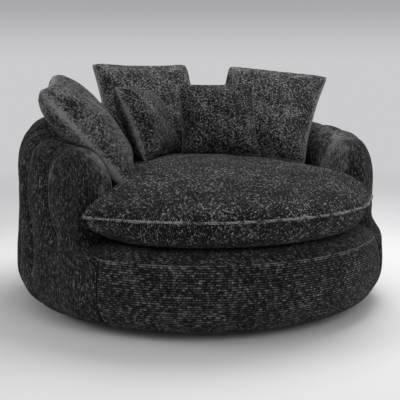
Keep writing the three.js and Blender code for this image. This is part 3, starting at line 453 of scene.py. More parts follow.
def speckle_group() -> bpy.types.NodeTree:
    """Fine and coarse unevenness of foam, fibre, felt and moulded skins, on Object coordinates.

    Returns:
        The group.
    """
    number, vector = "NodeSocketFloat", "NodeSocketVector"
    group, graph = new_group("speckle", {"Place": vector, "Scale": number}, {"Shade": number, "Height": number})
    given = graph.node("NodeGroupInput").outputs
    place = graph.node("ShaderNodeVectorMath", {0: given["Place"]}, operation="SCALE")
    graph.feed(place.inputs["Scale"], given["Scale"])
    fine = graph.noise(place.outputs[0], 1.0, 3.0, 0.6)
    coarse = graph.noise(place.outputs[0], 0.08, 2.0, 0.5)
    shade = graph.math("ADD", graph.math("MULTIPLY", fine, 0.6), graph.math("MULTIPLY", coarse, 0.4))
    graph.node("NodeGroupOutput", {"Shade": graph.step(shade, 0.35, 0.65), "Height": fine})
    return group


def grain_group() -> bpy.types.NodeTree:
    """Sawn wood's long grain and its finer pores, on Object coordinates.

    Returns:
        The group.
    """
    number, vector = "NodeSocketFloat", "NodeSocketVector"
    group, graph = new_group("sawn_grain", {"Place": vector, "Scale": number}, {"Shade": number, "Height": number})
    given = graph.node("NodeGroupInput").outputs
    place = graph.node("ShaderNodeVectorMath", {0: given["Place"]}, operation="SCALE")
    graph.feed(place.inputs["Scale"], given["Scale"])
    stretched = graph.node("ShaderNodeMapping", {"Vector": place.outputs[0], "Scale": (0.12, 1.0, 1.0)}).outputs[0]
    bend = graph.noise(stretched, 0.6, 3.0, 0.5)
    rings = graph.math("SINE", graph.math("MULTIPLY", bend, 34.0))
    pores = graph.noise(stretched, 9.0, 2.0, 0.6)
    shade = graph.math("ADD", graph.math("MULTIPLY", rings, 0.22), graph.math("MULTIPLY", pores, 0.9))
    graph.node("NodeGroupOutput", {"Shade": graph.step(shade, 0.1, 0.9), "Height": pores})
    return group


class Weave(Enum):
    """How far the chenille's rows are turned on a piece, in degrees from the yarn map."""

    ALONG = 0.0
    ASKEW = 8.0
    SLANTED = 38.0


class Pattern(Enum):
    """Which shared pattern a plain finish shows."""

    SPECKLE = "speckle"
    GRAIN = "sawn_grain"


class Groups:
    """The shared node groups, each built once."""

    def __init__(self) -> None:
        """Builds them."""
        self.chenille = chenille_rows_group()
        self.patterns = {Pattern.SPECKLE: speckle_group(), Pattern.GRAIN: grain_group()}


def new_material(name: str) -> tuple[bpy.types.Material, Graph, bpy.types.Node]:
    """A material with only a Principled shader and its output.

    Args:
        name: The material's name.

    Returns:
        The material, its graph and the shader.
    """
    material = bpy.data.materials.new(name)
    material.use_nodes = True
    graph = Graph(material.node_tree)
    graph.tree.nodes.clear()
    shader = graph.node("ShaderNodeBsdfPrincipled")
    output = graph.node("ShaderNodeOutputMaterial")
    graph.feed(output.inputs["Surface"], shader.outputs["BSDF"])
    return material, graph, shader


@dataclass(frozen=True)
class ChenilleFinish:
    """Charcoal chenille: dark between its rows, with pale flecks where the pile catches the light.

    Attributes:
        turn_deg: Which way the rows run over the yarn map.
        pitch: From row to row, in metres.
        tuft: Length of a fleck along its row.
        wander: How far the rows stray.
        patch: Size of the places where the pile is crushed one way.
        crush: How strongly these show.
        amount: Contrast of the flecks.
        base: Shade between them.
        highlight_lift: How much paler the painted highlight makes a place.
        gloss: Specular level.
        shades: The ramp from the dark ground to the palest fleck.
    """

    name: str
    turn_deg: float = Weave.ALONG.value
    pitch: float = 0.0066
    tuft: float = 0.015
    wander: float = 0.005
    patch: float = 0.11
    crush: float = 0.22
    amount: float = 3.3
    base: float = 0.33
    highlight_lift: float = 0.55
    gloss: float = 0.16
    shades: tuple[tuple[float, float], ...] = ((0.0, 0.004), (0.35, 0.012), (0.6, 0.036), (0.8, 0.085), (1.0, 0.2))

    def made(self, groups: Groups) -> bpy.types.Material:
        """The material.

        Args:
            groups: The shared node groups.

        Returns:
            The material, which reads the piece's yarn map.
        """
        material, graph, shader = new_material(self.name)
        yarn = graph.node("ShaderNodeUVMap", uv_map=YARN_MAP).outputs[0]
        turned = graph.node("ShaderNodeMapping", {"Vector": yarn, "Rotation": (0.0, 0.0, math.radians(self.turn_deg))})
        rows = graph.node("ShaderNodeGroup", node_tree=groups.chenille)
        values = {
            "Yarn": turned.outputs[0],
            "Pitch": self.pitch,
            "Tuft": self.tuft,
            "Wander": self.wander,
            "Patch": self.patch,
            "Crush": self.crush,
            "Amount": self.amount,
            "Base": self.base,
        }
        for key, value in values.items():
            graph.feed(rows.inputs[key], value)
        # Painted highlight: the attribute lifts the shade, so seams and crests are drawn paler as if lit
        painted_highlight = graph.node("ShaderNodeAttribute", attribute_name=PAINTED_HIGHLIGHT).outputs["Fac"]
        highlighted = graph.math("ADD", rows.outputs["Shade"], graph.math("MULTIPLY", painted_highlight, self.highlight_lift), clamp=True)
        ramp = graph.node("ShaderNodeValToRGB", {0: highlighted})
        while len(ramp.color_ramp.elements) < len(self.shades):
            ramp.color_ramp.elements.new(0.5)
        for stop, (place, grey) in zip(ramp.color_ramp.elements, self.shades):
            stop.position = place
            stop.color = (grey, grey * 0.99, grey * 1.01, 1.0)
        graph.feed(shader.inputs["Base Color"], ramp.outputs["Color"])
        bump = graph.node("ShaderNodeBump", {"Strength": 0.8, "Distance": 0.006, "Height": rows.outputs["Height"]})
        graph.feed(shader.inputs["Normal"], bump.outputs[0])
        graph.feed(shader.inputs["Roughness"], graph.step(rows.outputs["Shade"], 0.0, 1.0, 0.98, 0.75))
        shader.inputs["Specular IOR Level"].default_value = self.gloss
        shader.inputs["Sheen Weight"].default_value = 0.03
        shader.inputs["Sheen Roughness"].default_value = 0.4
        shader.inputs["Sheen Tint"].default_value = (0.9, 0.9, 0.9, 1.0)
        return material


@dataclass(frozen=True)
class PlainFinish:
    """A finish of the parts under the cover: two shades in a pattern, with a little relief."""

    name: str
    dark: tuple[float, float, float]
    light: tuple[float, float, float]
    scale: float
    pattern: Pattern = Pattern.SPECKLE
    roughness: tuple[float, float] = (0.8, 0.95)
    relief: float = 0.0004
    metallic: float = 0.0

    def made(self, groups: Groups) -> bpy.types.Material:
        """The material.

        Args:
            groups: The shared node groups.

        Returns:
            The material, on Object coordinates.
        """
        material, graph, shader = new_material(self.name)
        place = graph.node("ShaderNodeTexCoord").outputs["Object"]
        group = graph.node("ShaderNodeGroup", node_tree=groups.patterns[self.pattern])
        graph.feed(group.inputs["Place"], place)
        graph.feed(group.inputs["Scale"], self.scale)
        graph.feed(shader.inputs["Base Color"], graph.blend(group.outputs["Shade"], self.dark, self.light))
        graph.feed(shader.inputs["Roughness"], graph.step(group.outputs["Shade"], 0.0, 1.0, *self.roughness))
        bump = graph.node("ShaderNodeBump", {"Distance": self.relief, "Height": group.outputs["Height"]})
        graph.feed(shader.inputs["Normal"], bump.outputs[0])
        shader.inputs["Metallic"].default_value = self.metallic
        return material


HIDDEN_FINISHES = {
    "chenille": PlainFinish("chenille_under", (0.006, 0.006, 0.007), (0.03, 0.03, 0.032), 300.0),
    "fibre_filling": PlainFinish("fibre_filling", (0.6, 0.59, 0.55), (0.82, 0.81, 0.78), 220.0, relief=0.001),
    "foam": PlainFinish("cut_foam", (0.55, 0.47, 0.25), (0.74, 0.66, 0.4), 700.0, relief=0.0006),
    "hardboard": PlainFinish("hardboard", (0.13, 0.07, 0.03), (0.24, 0.13, 0.06), 500.0, roughness=(0.55, 0.75)),
    "birch_ply": PlainFinish("birch_ply", (0.38, 0.25, 0.12), (0.62, 0.46, 0.26), 40.0, Pattern.GRAIN),
    "black_board": PlainFinish("stained_board", (0.007, 0.007, 0.008), (0.018, 0.017, 0.017), 60.0, Pattern.GRAIN),
    "black_plastic": PlainFinish("moulded_plastic", (0.008, 0.008, 0.009), (0.016, 0.016, 0.017), 900.0,
                                 roughness=(0.4, 0.55), relief=0.00015),
    "spring_steel": PlainFinish("spring_wire", (0.06, 0.06, 0.065), (0.16, 0.16, 0.17), 300.0,
                                roughness=(0.3, 0.5), relief=0.0001, metallic=1.0),
    "zinc_steel": PlainFinish("zinc_plate", (0.42, 0.43, 0.44), (0.62, 0.63, 0.63), 60.0,
                              roughness=(0.25, 0.45), relief=0.0001, metallic=1.0),
    "felt": PlainFinish("pressed_felt", (0.09, 0.09, 0.09), (0.2, 0.2, 0.19), 600.0, relief=0.0008),
    "cambric": PlainFinish("dust_cloth", (0.006, 0.006, 0.006), (0.02, 0.02, 0.021), 800.0),
}


# The upholstered body

END_STEPS = 400  # steps round a rounded end before it is evened out
EVENING_ROUNDS = 160  # how often the seat's heights are averaged
REACH = 0.09  # how far off a cushion feels what it lies on, in metres


@dataclass
class Drum:
    """Outline of the body, from the hem to the deck's seam."""

    widest_r: float = 0.716
    widest_z: float = 0.150
    hem_r: float = 0.604
    hem_z: float = 0.020
    hem_width: float = 0.042
    seam_r: float = 0.692
    seam_z: float = 0.262
    cloth: float = 0.003

    def skirt(self, count: int) -> np.ndarray:
        """Radius and height from the strip under the hem up to the widest place.

        Args:
            count: Points from the hem up.

        Returns:
            Points by 2.
        """
        up = np.linspace(0.0, 1.0, count) ** 1.7
        out = (1.0 - (1.0 - up) ** 2) ** (1 / 2.4)
        side = np.stack(
            [self.hem_r + (self.widest_r - self.hem_r) * out, self.hem_z + (self.widest_z - self.hem_z) * up], axis=1
        )
        under = np.array([[self.hem_r - self.hem_width, self.hem_z], [self.hem_r - self.hem_width / 2, self.hem_z]])
        return np.vstack([under, side])

    def shoulder(self, count: int) -> np.ndarray:
        """Radius and height from just above the widest place up to the deck's seam.

        Args:
            count: Points from the lowest up.

        Returns:
            Points by 2.
        """
        up = np.linspace(0.0, 1.0, count + 1)[1:]
        return np.stack(
            [
                self.widest_r - (self.widest_r - self.seam_r) * up**2.36,
                self.widest_z + (self.seam_z - self.widest_z) * up,
            ],
            axis=1,
        )


@dataclass
class ArmsAndBack:
    """One padded roll for both arms and the back, in an outside and an inside cover.

    Attributes:
        middle_r: Radius of the roll's middle line.
        half: Half its width.
        top: Height of its rounded top.
        right_sag: How far the right arm sags between its end and the back.
        end_deg: Where the arms' round ends start, from the back.
        foot_length: Length of the ends below, where they reach the front band's side seams.
        foot_z: Heights between which the ends draw back from there.
        foot_square: How square the ends are down there, towards 0 for a rectangle.
        end_square: The same higher up the wall, as heights and powers.
        top_square: The same over the rounded top, as degrees up it and powers.
        straight_z: Height above which the outer wall no longer bulges with the drum.
        lap: How far the cloth goes on under the deck's edge.
        inside_z: Height of the deck's edge, below which the inside is open.
        fold_lean_deg: How far the folds lean towards the back at the top.
        seam_turn_deg: Where on the rounded top the two covers meet.
        fold_deg: The folds of one side.
        lobe: How far the padding between two folds stands out.
        crease: How deep a fold is.
        crease_low: How much of that shows lower down, as heights and shares.
        pinch_deg: Width of a fold's pinch, on its side towards the back and on the other.
        end_rib_ease: How much shallower the last fold is, over the plywood behind it.
        slack: How far the cloth falls in over the arms' ends.
    """

    drum: Drum
    middle_r: float = 0.591
    half: float = 0.111
    top: float = 0.150
    arm_h: float = 0.612
    back_h: float = 0.742
    right_sag: float = 0.022
    end_deg: float = 110.16
    end_length: float = 0.117
    foot_length: float = 0.1974
    foot_z: tuple[float, float] = (0.262, 0.290)
    foot_square: float = 0.05
    end_square: tuple[tuple[float, ...], ...] = ((0.236, 0.275, 0.32, 0.462), (0.05, 0.3, 0.42, 0.588))
    top_square: tuple[tuple[float, ...], ...] = ((0.0, 30.0, 55.0, 76.0, 90.0), (0.588, 0.77, 0.91, 1.0, 1.0))
    straight_z: float = 0.34
    lap: float = 0.012
    inside_z: float = 0.236
    fold_lean_deg: float = 6.0
    seam_turn_deg: float = 60.0
    fold_deg: tuple[float, ...] = (9.0, 22.0, 35.0, 48.0, 61.0, 74.0, 87.0, 100.0, 113.0)
    lobe: float = 0.007
    crease: float = 0.030
    crease_low: tuple[tuple[float, ...], ...] = ((0.02, 0.06, 0.15, 0.30, 0.45), (0.10, 0.30, 0.55, 0.85, 1.0))
    pinch_deg: tuple[float, float] = (2.6, 1.3)
    end_rib_ease: float = 0.45
    slack: float = 0.034
    skirt_rows: int = 14
    arc_columns: int = 460
    end_columns: int = 64
    wall_rows: int = 16
    top_rows: int = 22

    def height(self, deg: np.ndarray) -> np.ndarray:
        """How high the roll is.

        Args:
            deg: Angles from the back.

        Returns:
            Heights of its ridge.
        """
        towards_back = 1.0 - np.minimum(np.abs(deg), self.end_deg) / self.end_deg
        sag = self.right_sag * smoothstep(15.0, 50.0, deg) * (1.0 - smoothstep(75.0, 105.0, deg))
        return self.arm_h + (self.back_h - self.arm_h) * np.sin(towards_back * math.pi / 2) - sag

    def level(self, outer: float, inner: float, end: float, squareness: float) -> tuple[np.ndarray, np.ndarray]:
        """One level of the roll seen from above, a C with rounded ends.

        Args:
            outer: Half-width towards the outside.
            inner: Half-width towards the seat.
            end: Length of its ends.
            squareness: Power of the ends' curve, 1 for an ellipse and towards 0 for a rectangle.

        Returns:
            Angles and radii of its points, the first repeated at the end.
        """
        arc = np.linspace(-self.end_deg, self.end_deg, self.arc_columns)
        turn = np.linspace(math.pi / 2, -math.pi / 2, END_STEPS)
        along = end * np.abs(np.cos(turn)) ** squareness
        across = np.abs(np.sin(turn)) ** squareness * np.where(turn > 0, outer, -inner)
        end_line = resampled(np.stack([along, across], axis=1), self.end_columns)[1:-1]
        reach = self.end_deg + np.degrees(end_line[:, 0] / self.middle_r)
        deg = np.concatenate([arc, reach, arc[::-1], -reach[::-1], arc[:1]])
        side = np.concatenate(
            [
                np.full(arc.size, outer),
                end_line[:, 1],
                np.full(arc.size, -inner),
                end_line[::-1, 1],
                [outer],
            ]
        )
        return deg, self.middle_r + side

    def levels(self) -> list[tuple[np.ndarray, np.ndarray, float, float]]:
        """All levels from the hem to the ridge.

        Returns:
            Of each level its points, their sides, the share up the rounded top and the outer half-width.
        """
        made = []

        def add(outer: float, across: float, end: float, squareness: float, z: Callable, up: float) -> None:
            """Adds one level, its z a function of the angle."""
            deg, r = self.level(outer, self.half * across, end * max(across, 1e-4), squareness)
            made.append((polar(deg, r, z(deg)), (r - self.middle_r) / self.half, up, outer))

        for r, z in self.drum.skirt(self.skirt_rows):
            outer = r - self.middle_r
            add(outer, 1.0, self.foot_length, self.foot_square, lambda deg, z=z: np.full(deg.shape, z), 0.0)
        low = self.drum.widest_z
        for share in np.linspace(0.0, 1.0, self.wall_rows + 1)[1:]:
            def wall(deg: np.ndarray, share: float = share) -> np.ndarray:
                """Heights between the widest place and the rounded top."""
                return low + (self.height(deg) - self.top - low) * share

            z_arm = float(wall(np.array([self.end_deg]))[0])
            bulge = self.drum.widest_r - self.middle_r - self.half
            outer = self.half + bulge * (1 - float(smoothstep(low, self.straight_z, z_arm)))
            square = float(np.interp(z_arm, *self.end_square))
            end = float(np.interp(z_arm, self.foot_z, [self.foot_length, self.end_length]))
            add(outer, 1.0, end, square, wall, 0.0)
        for turn in np.linspace(0.0, math.pi / 2, self.top_rows + 1)[1:]:
            across = max(math.cos(turn), 0.0) ** 0.8
            up = math.sin(turn)
            square = float(np.interp(math.degrees(turn), *self.top_square))
            add(
                self.half * across,
                across,
                self.end_length,
                square,
                lambda deg, up=up: self.height(deg) - self.top * (1 - up),
                up,
            )
        return made

    def build(self, finish: bpy.types.Material) -> list[bpy.types.Object]:
        """Makes both covers.

        Args:
            finish: The chenille with its rows running up.

        Returns:
            The outside cover and the inside cover.
        """
        levels = self.levels()
        points = np.stack([level[0] for level in levels])
        side = np.stack([level[1] for level in levels])
        up = np.array([level[2] for level in levels])[:, None]
        inwards = np.array([level[3] for level in levels])[:, None] - side * self.half
        points = self.draped(points, side, up)
        run_up = np.concatenate([[0.0], np.cumsum(np.linalg.norm(np.diff(points[:, 0], axis=0), axis=1))])
        row_up = np.repeat(run_up[:, None], points.shape[1], axis=1)
        middle_line = points[len(self.drum.skirt(self.skirt_rows))]
        round_run = np.concatenate([[0.0], np.cumsum(np.linalg.norm(np.diff(middle_line, axis=0), axis=1))])
        yarn = np.stack([row_up, np.repeat(round_run[None, :], points.shape[0], axis=0)], axis=-1)

        faces_side = (side[1:, 1:] + side[:-1, :-1]) / 2
        faces_deg = np.degrees(np.arctan2(points[:-1, :-1, 0], points[:-1, :-1, 1]))
        faces_z = points[:-1, :-1, 2]
        faces_turn = np.degrees(np.arcsin(np.clip(np.broadcast_to(up[1:], faces_z.shape), 0, 1)))
        in_middle = np.abs(faces_deg) < self.end_deg - 0.5
        is_inside = (faces_side < 0) & in_middle & (faces_turn < self.seam_turn_deg)
        reaches_in = np.maximum(inwards[1:, 1:], inwards[:-1, :-1]) > self.lap
        under_deck = reaches_in & (faces_z < self.inside_z - self.lap)
        # Painted highlight on the arms' tops, their ends' inner side and the folds' shoulders
        painted_highlight = self.painted_highlights(points, side, up)
        outside = woven_sheet("outside_cover_of_arms_and_back", points, yarn, ~is_inside & ~under_deck, painted_highlight, True)
        inside = woven_sheet("inside_cover_of_arms_and_back", points, yarn, is_inside & ~under_deck, painted_highlight, True)
        self.foam()
        for piece, node in ((outside, "outside_cover"), (inside, "inside_cover")):
            line_with_thickness(piece, self.drum.cloth)
            piece.data.materials.append(finish)
            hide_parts(node)
            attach(piece, "chair")
        return [outside, inside]

    def lean(self, turned: np.ndarray, z: np.ndarray) -> np.ndarray:
        """How far the folds lean towards the back, in degrees, more up the roll and round towards the arms."""
        return self.fold_lean_deg * smoothstep(0.2, 0.45, z) * smoothstep(45.0, 95.0, turned)

    def painted_highlights(self, points: np.ndarray, side: np.ndarray, up: np.ndarray) -> np.ndarray:
        """Painted highlight of the roll: the arms' tops, their ends' inner side and the folds' shoulders, drawn paler
        as if lit.

        Args:
            points: Levels by columns by 3.
            side: From -1 at the inner wall to 1 at the outer.
            up: Share up the rounded top of each level.

        Returns:
            From 0 to 1 for each point.
        """
        deg = np.degrees(np.arctan2(points[..., 0], points[..., 1]))
        z, turned = points[..., 2], np.abs(deg)
        patchy = np.clip(0.5 + 0.9 * rumple(points, 0.05, 15.0, 2), 0.0, 1.0)
        tops = smoothstep(50.0, 80.0, turned) * smoothstep(0.5, 0.95, up) * smoothstep(0.8, -0.1, side)
        # The painted highlight is stronger on the right arm's top than on the left's
        tops = tops * np.where(deg > 0.0, 0.8, 0.5)
        inner_ends = 1.3 * smoothstep(100.0, 116.0, turned) * smoothstep(0.2, -0.4, side) * smoothstep(0.36, 0.46, z)
        # Painted highlight on the shoulder just past each fold
        past = (turned + self.lean(turned, z))[..., None] - np.array(self.fold_deg)
        shoulders = np.exp(-(((past - 2.6) / 1.2) ** 2)).max(axis=-1)
        shoulders = shoulders * smoothstep(0.3, 0.8, side) * smoothstep(0.1, 0.2, z)
        return np.clip(patchy * (tops + inner_ends + (0.5 + 0.7 * up) * shoulders), 0.0, 1.0)

    def foam(self, less: float = 0.014) -> None:
        """The foam of the arms and the back, a smaller roll that follows the folds of the cover over it.

        Args:
            less: How much smaller it is on each side.
        """
        inner = replace(
            self,
            drum=replace(self.drum, widest_r=self.drum.widest_r - less, hem_r=self.drum.hem_r - less),
            half=self.half - less,
            top=self.top - less,
            arm_h=self.arm_h - less,
            back_h=self.back_h - less,
            end_length=self.end_length - less,
            foot_length=self.foot_length - less,
            foot_z=(self.foot_z[0] - 2 * less, self.foot_z[1] - less),
            crease=self.crease + 0.003,
            slack=self.slack + 0.003,
        )
        levels = inner.levels()[self.skirt_rows - 2 :]
        points = np.stack([level[0] for level in levels])
        side = np.stack([level[1] for level in levels])
        points = inner.draped(points, side, np.array([level[2] for level in levels])[:, None])
        foam = woven_sheet("foam_of_arms_and_back", points, points[..., :2].copy(), flip=True)
        line_with_thickness(foam, 0.008)
        foam.data.materials.append(bpy.data.materials[HIDDEN_FINISHES["foam"].name])
        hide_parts("arm_and_back_foam")
        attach(foam, "chair")

    def draped(self, points: np.ndarray, side: np.ndarray, up: np.ndarray) -> np.ndarray:
        """Draws the cloth in at the folds, and rumples it a little.

        Args:
            points: Levels by columns by 3.
            side: From -1 at the inner wall to 1 at the outer.
            up: Share up the rounded top of each level.

        Returns:
            The moved points.
        """
        normals = grid_normals(points, flip=True)
        deg = np.degrees(np.arctan2(points[..., 0], points[..., 1]))
        z, turned = points[..., 2], np.abs(deg)
        deg = deg + np.sign(deg) * self.lean(turned, z)
        folds = np.array(sorted([-d for d in self.fold_deg] + list(self.fold_deg)))
        gaps = np.diff(folds)
        nearest = np.abs(deg[..., None] - folds).argmin(axis=-1)
        offset = deg - folds[nearest]
        room = np.where(offset > 0, np.append(gaps, gaps[-1])[nearest], np.insert(gaps, 0, gaps[0])[nearest]) / 2
        away = np.clip(np.abs(offset) / room, 0.0, 1.0)
        low_share = np.interp(z, *self.crease_low)
        over_top = smoothstep(-0.75, 0.25, side)
        eased = 1.0 - self.end_rib_ease * smoothstep(96.0, 107.0, turned)
        crease = self.crease * np.where(up > 0, 1.0 - 0.8 * up, 1.0) * eased
        width = np.where(offset * np.sign(deg) < 0.0, *self.pinch_deg)
        pinch = 0.7 * np.exp(-((offset / width) ** 2)) + 0.3 * (1.0 - away) ** 1.7
        drawn = ((crease + self.lobe) * pinch - self.lobe) * low_share * over_top
        bumps = 0.0025 * rumple(points * np.array([1.0, 1.0, 0.45]), 0.16, 3.1) + 0.0012 * rumple(points, 0.045, 9.4)
        calm = smoothstep(0.02, 0.08, z) * smoothstep(-0.1, 0.3, 1.0 - up * 0.7)
        full = 0.0055 * smoothstep(0.2, -0.6, side)
        round_end = 0.35 * smoothstep(94.0, 110.0, turned) + 0.65 * smoothstep(107.0, 121.0, turned)
        slack = self.slack * round_end * smoothstep(0.255, 0.32, z) * smoothstep(0.2, 1.0, side)
        return points + normals * (bumps * calm - drawn + full - slack)[..., None]


@dataclass
class FrontBand:
    """The padded band across the front, from its hem to the deck's seam.

    Attributes:
        half_deg: From straight ahead to each side seam.
        foam_deg: The same for its foam.
        turned_in: How far its ends turn in at the side seams.
    """

    drum: Drum
    half_deg: float = 50.95
    foam_deg: float = 50.0
    turned_in: float = 0.008
    columns: int = 280

    def foam(self, less: float = 0.010) -> None:
        """The foam under the band.

        Args:
            less: How much smaller it is than the band.
        """
        drum = replace(
            self.drum,
            widest_r=self.drum.widest_r - less,
            hem_r=self.drum.hem_r - less,
            seam_r=self.drum.seam_r - less,
            seam_z=self.drum.seam_z - less / 2,
        )
        profile = np.vstack([drum.skirt(12)[4:], drum.shoulder(8)])
        deg = np.linspace(180.0 - self.foam_deg, 180.0 + self.foam_deg, 90)
        points = polar(deg[None, :], profile[:, :1], profile[:, 1:])
        foam = woven_sheet("foam_of_front_band", points, points[..., :2].copy(), flip=True)
        line_with_thickness(foam, 0.02)
        foam.data.materials.append(bpy.data.materials[HIDDEN_FINISHES["foam"].name])
        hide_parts("border_foam")
        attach(foam, "chair")

    def build(self, finish: bpy.types.Material) -> bpy.types.Object:
        """Makes the band with its seam.

        Args:
            finish: The chenille with its rows running round.

        Returns:
            The band.
        """
        seam_r, seam_z = self.drum.seam_r, self.drum.seam_z
        seam = [[seam_r + 0.0005, seam_z + 0.0025], [seam_r - 0.002, seam_z + 0.004], [seam_r - 0.006, seam_z + 0.001]]
        profile = np.vstack([self.drum.skirt(16), self.drum.shoulder(14), seam])
        deg = np.linspace(180.0 - self.half_deg, 180.0 + self.half_deg, self.columns)
        points = polar(deg[None, :], profile[:, :1], profile[:, 1:])
        run = np.concatenate([[0.0], np.cumsum(np.linalg.norm(np.diff(profile, axis=0), axis=1))])
        round_run = np.radians(deg) * self.drum.widest_r
        yarn = np.stack(np.broadcast_arrays(round_run[None, :], run[:, None]), axis=-1)
        normals = grid_normals(points, flip=True)
        z = points[..., 2]
        calm = smoothstep(0.02, 0.07, z) * (1.0 - smoothstep(seam_z - 0.012, seam_z, z))
        from_end = self.half_deg - np.abs(deg - 180.0)
        turned_in = self.turned_in * (1.0 - smoothstep(0.0, 1.0, from_end))[None, :]
        bumps = 0.003 * rumple(points * np.array([0.6, 0.6, 1.0]), 0.17, 21.0) + 0.001 * rumple(points, 0.04, 5.0)
        points = points + normals * (bumps * calm - turned_in)[..., None]
        # Painted highlight: a pale broken line along the seam at the top, and a fainter paleness towards the side seams
        painted_highlight = np.zeros(points.shape[:2])
        broken = np.clip(0.85 + 1.2 * rumple(points[-3], 0.035, 57.0, 2), 0.35, 1.0)
        painted_highlight[-5:] = np.array([0.3, 0.6, 1.0, 1.0, 0.5])[:, None] * broken
        painted_highlight[10:-4] = 0.3 * (1.0 - smoothstep(0.4, 1.6, from_end))[None, :]
        self.foam()
        band = woven_sheet("front_band", points, yarn, painted_highlight=painted_highlight, flip=True)
        line_with_thickness(band, self.drum.cloth)
        band.data.materials.append(finish)
        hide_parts("front_border")
        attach(band, "chair")
        return band


@dataclass
class SeatPlan:
    """The outline that the deck and the seat cushion share: a wide T with round ends, between and before the arms.

    Attributes:
        front_r: Radius straight ahead.
        left_ear_r: Radius of the left ear, before the arm.
        right_ear_r: Radius of the right one.
        back_r: Radius between the arms.
        clear: Room beside the arms.
        opening_deg: From straight ahead to the arms.
        roll_r: Radius at which the opening is measured.
        middle: Where the rings start.
    """

    front_r: float
    left_ear_r: float
    right_ear_r: float
    back_r: float
    clear: float
    opening_deg: float = 58.5
    roll_r: float = 0.591
    middle: tuple[float, float] = (0.0, -0.110)

    def outline(self, count: int, soften: float) -> np.ndarray:
        """Points round the outline.

        Args:
            count: How many points.
            soften: How far the corners are rounded, in metres.

        Returns:
            Count by 2, starting straight ahead.
        """
        edge = self.opening_deg - math.degrees(self.clear / self.roll_r)
        run_in = [(-4.5, 1.0), (-1.8, 1.0), (0.0, 0.8), (0.0, 0.5), (0.0, 0.3), (0.5, 0.14), (2.1, 0.05), (6.5, 0.01)]

        def half(ear_r: float) -> list[tuple[float, float]]:
            """One side of the outline.

            Args:
                ear_r: Radius of its ear.

            Returns:
                Angles from straight ahead, and radii.
            """
            front = [
                (deg, self.front_r + (ear_r - self.front_r) * float(smoothstep(30.0, 50.0, deg)))
                for deg in np.linspace(0.0, 48.0, 13)[1:]
            ]
            neck = [(edge + deg, self.back_r + (ear_r - self.back_r) * share) for deg, share in run_in]
            back = [(deg, self.back_r) for deg in np.linspace(70.0, 174.0, 27)]
            return front + neck + back

        right = [(180.0 - deg, r) for deg, r in half(self.right_ear_r)]
        left = [(180.0 + deg, r) for deg, r in reversed(half(self.left_ear_r))]
        line = [(180.0, self.front_r), *right, (0.0, self.back_r), *left]
        flat = polar(np.array([d for d, _ in line]), np.array([r for _, r in line]), np.zeros(len(line)))[:, :2]
        fine = resampled(flat, 1440, closed=True)
        pitch = float(np.linalg.norm(fine[1] - fine[0]))
        reach = max(1, int(3 * soften / pitch))
        weights = np.exp(-0.5 * (np.arange(-reach, reach + 1) * pitch / soften) ** 2)
        weights /= weights.sum()
        soft = sum(w * np.roll(fine, k, axis=0) for w, k in zip(weights, range(-reach, reach + 1)))
        return resampled(soft, count, closed=True)


@dataclass
class Deck:
    """The cover of the springs under the seat cushion."""

    drum: Drum
    deck_z: float = 0.300
    flat_share: float = 0.86
    plan: SeatPlan = field(default_factory=lambda: SeatPlan(0.692, 0.692, 0.692, 0.476, 0.004))
    columns: int = 360

    def build(self, finish: bpy.types.Material) -> bpy.types.Object:
        """Makes the deck.

        Args:
            finish: The chenille with its rows slanting.

        Returns:
            The deck.
        """
        outline = self.plan.outline(self.columns, 0.006)
        outline = np.vstack([outline, outline[:1]])
        middle = np.array(self.plan.middle)
        shares = np.concatenate([np.linspace(0.0, 0.84, 12), np.linspace(0.86, 1.0, 14)])
        rings = middle + (outline - middle)[None] * shares[:, None, None]
        in_front = smoothstep(0.53, 0.63, np.linalg.norm(outline, axis=1))[None, :]
        drop = np.clip((shares - self.flat_share) / (1 - self.flat_share), 0.0, 1.0)[:, None] ** 1.9
        edge_z = self.drum.seam_z + (self.deck_z - 0.005 - self.drum.seam_z) * (1.0 - in_front)
        z = self.deck_z + (edge_z - self.deck_z) * drop
        points = np.concatenate([rings, z[..., None]], axis=-1)
        points[..., 2] += 0.0018 * rumple(points, 0.09, 40.0) * (1.0 - drop)
        yarn = points[..., :2].copy()
        deck = woven_sheet("deck_cover_woven", points, yarn, flip=True)
        line_with_thickness(deck, self.drum.cloth)
        deck.data.materials.append(finish)
        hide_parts("deck_cover")
        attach(deck, "chair")
        return deck


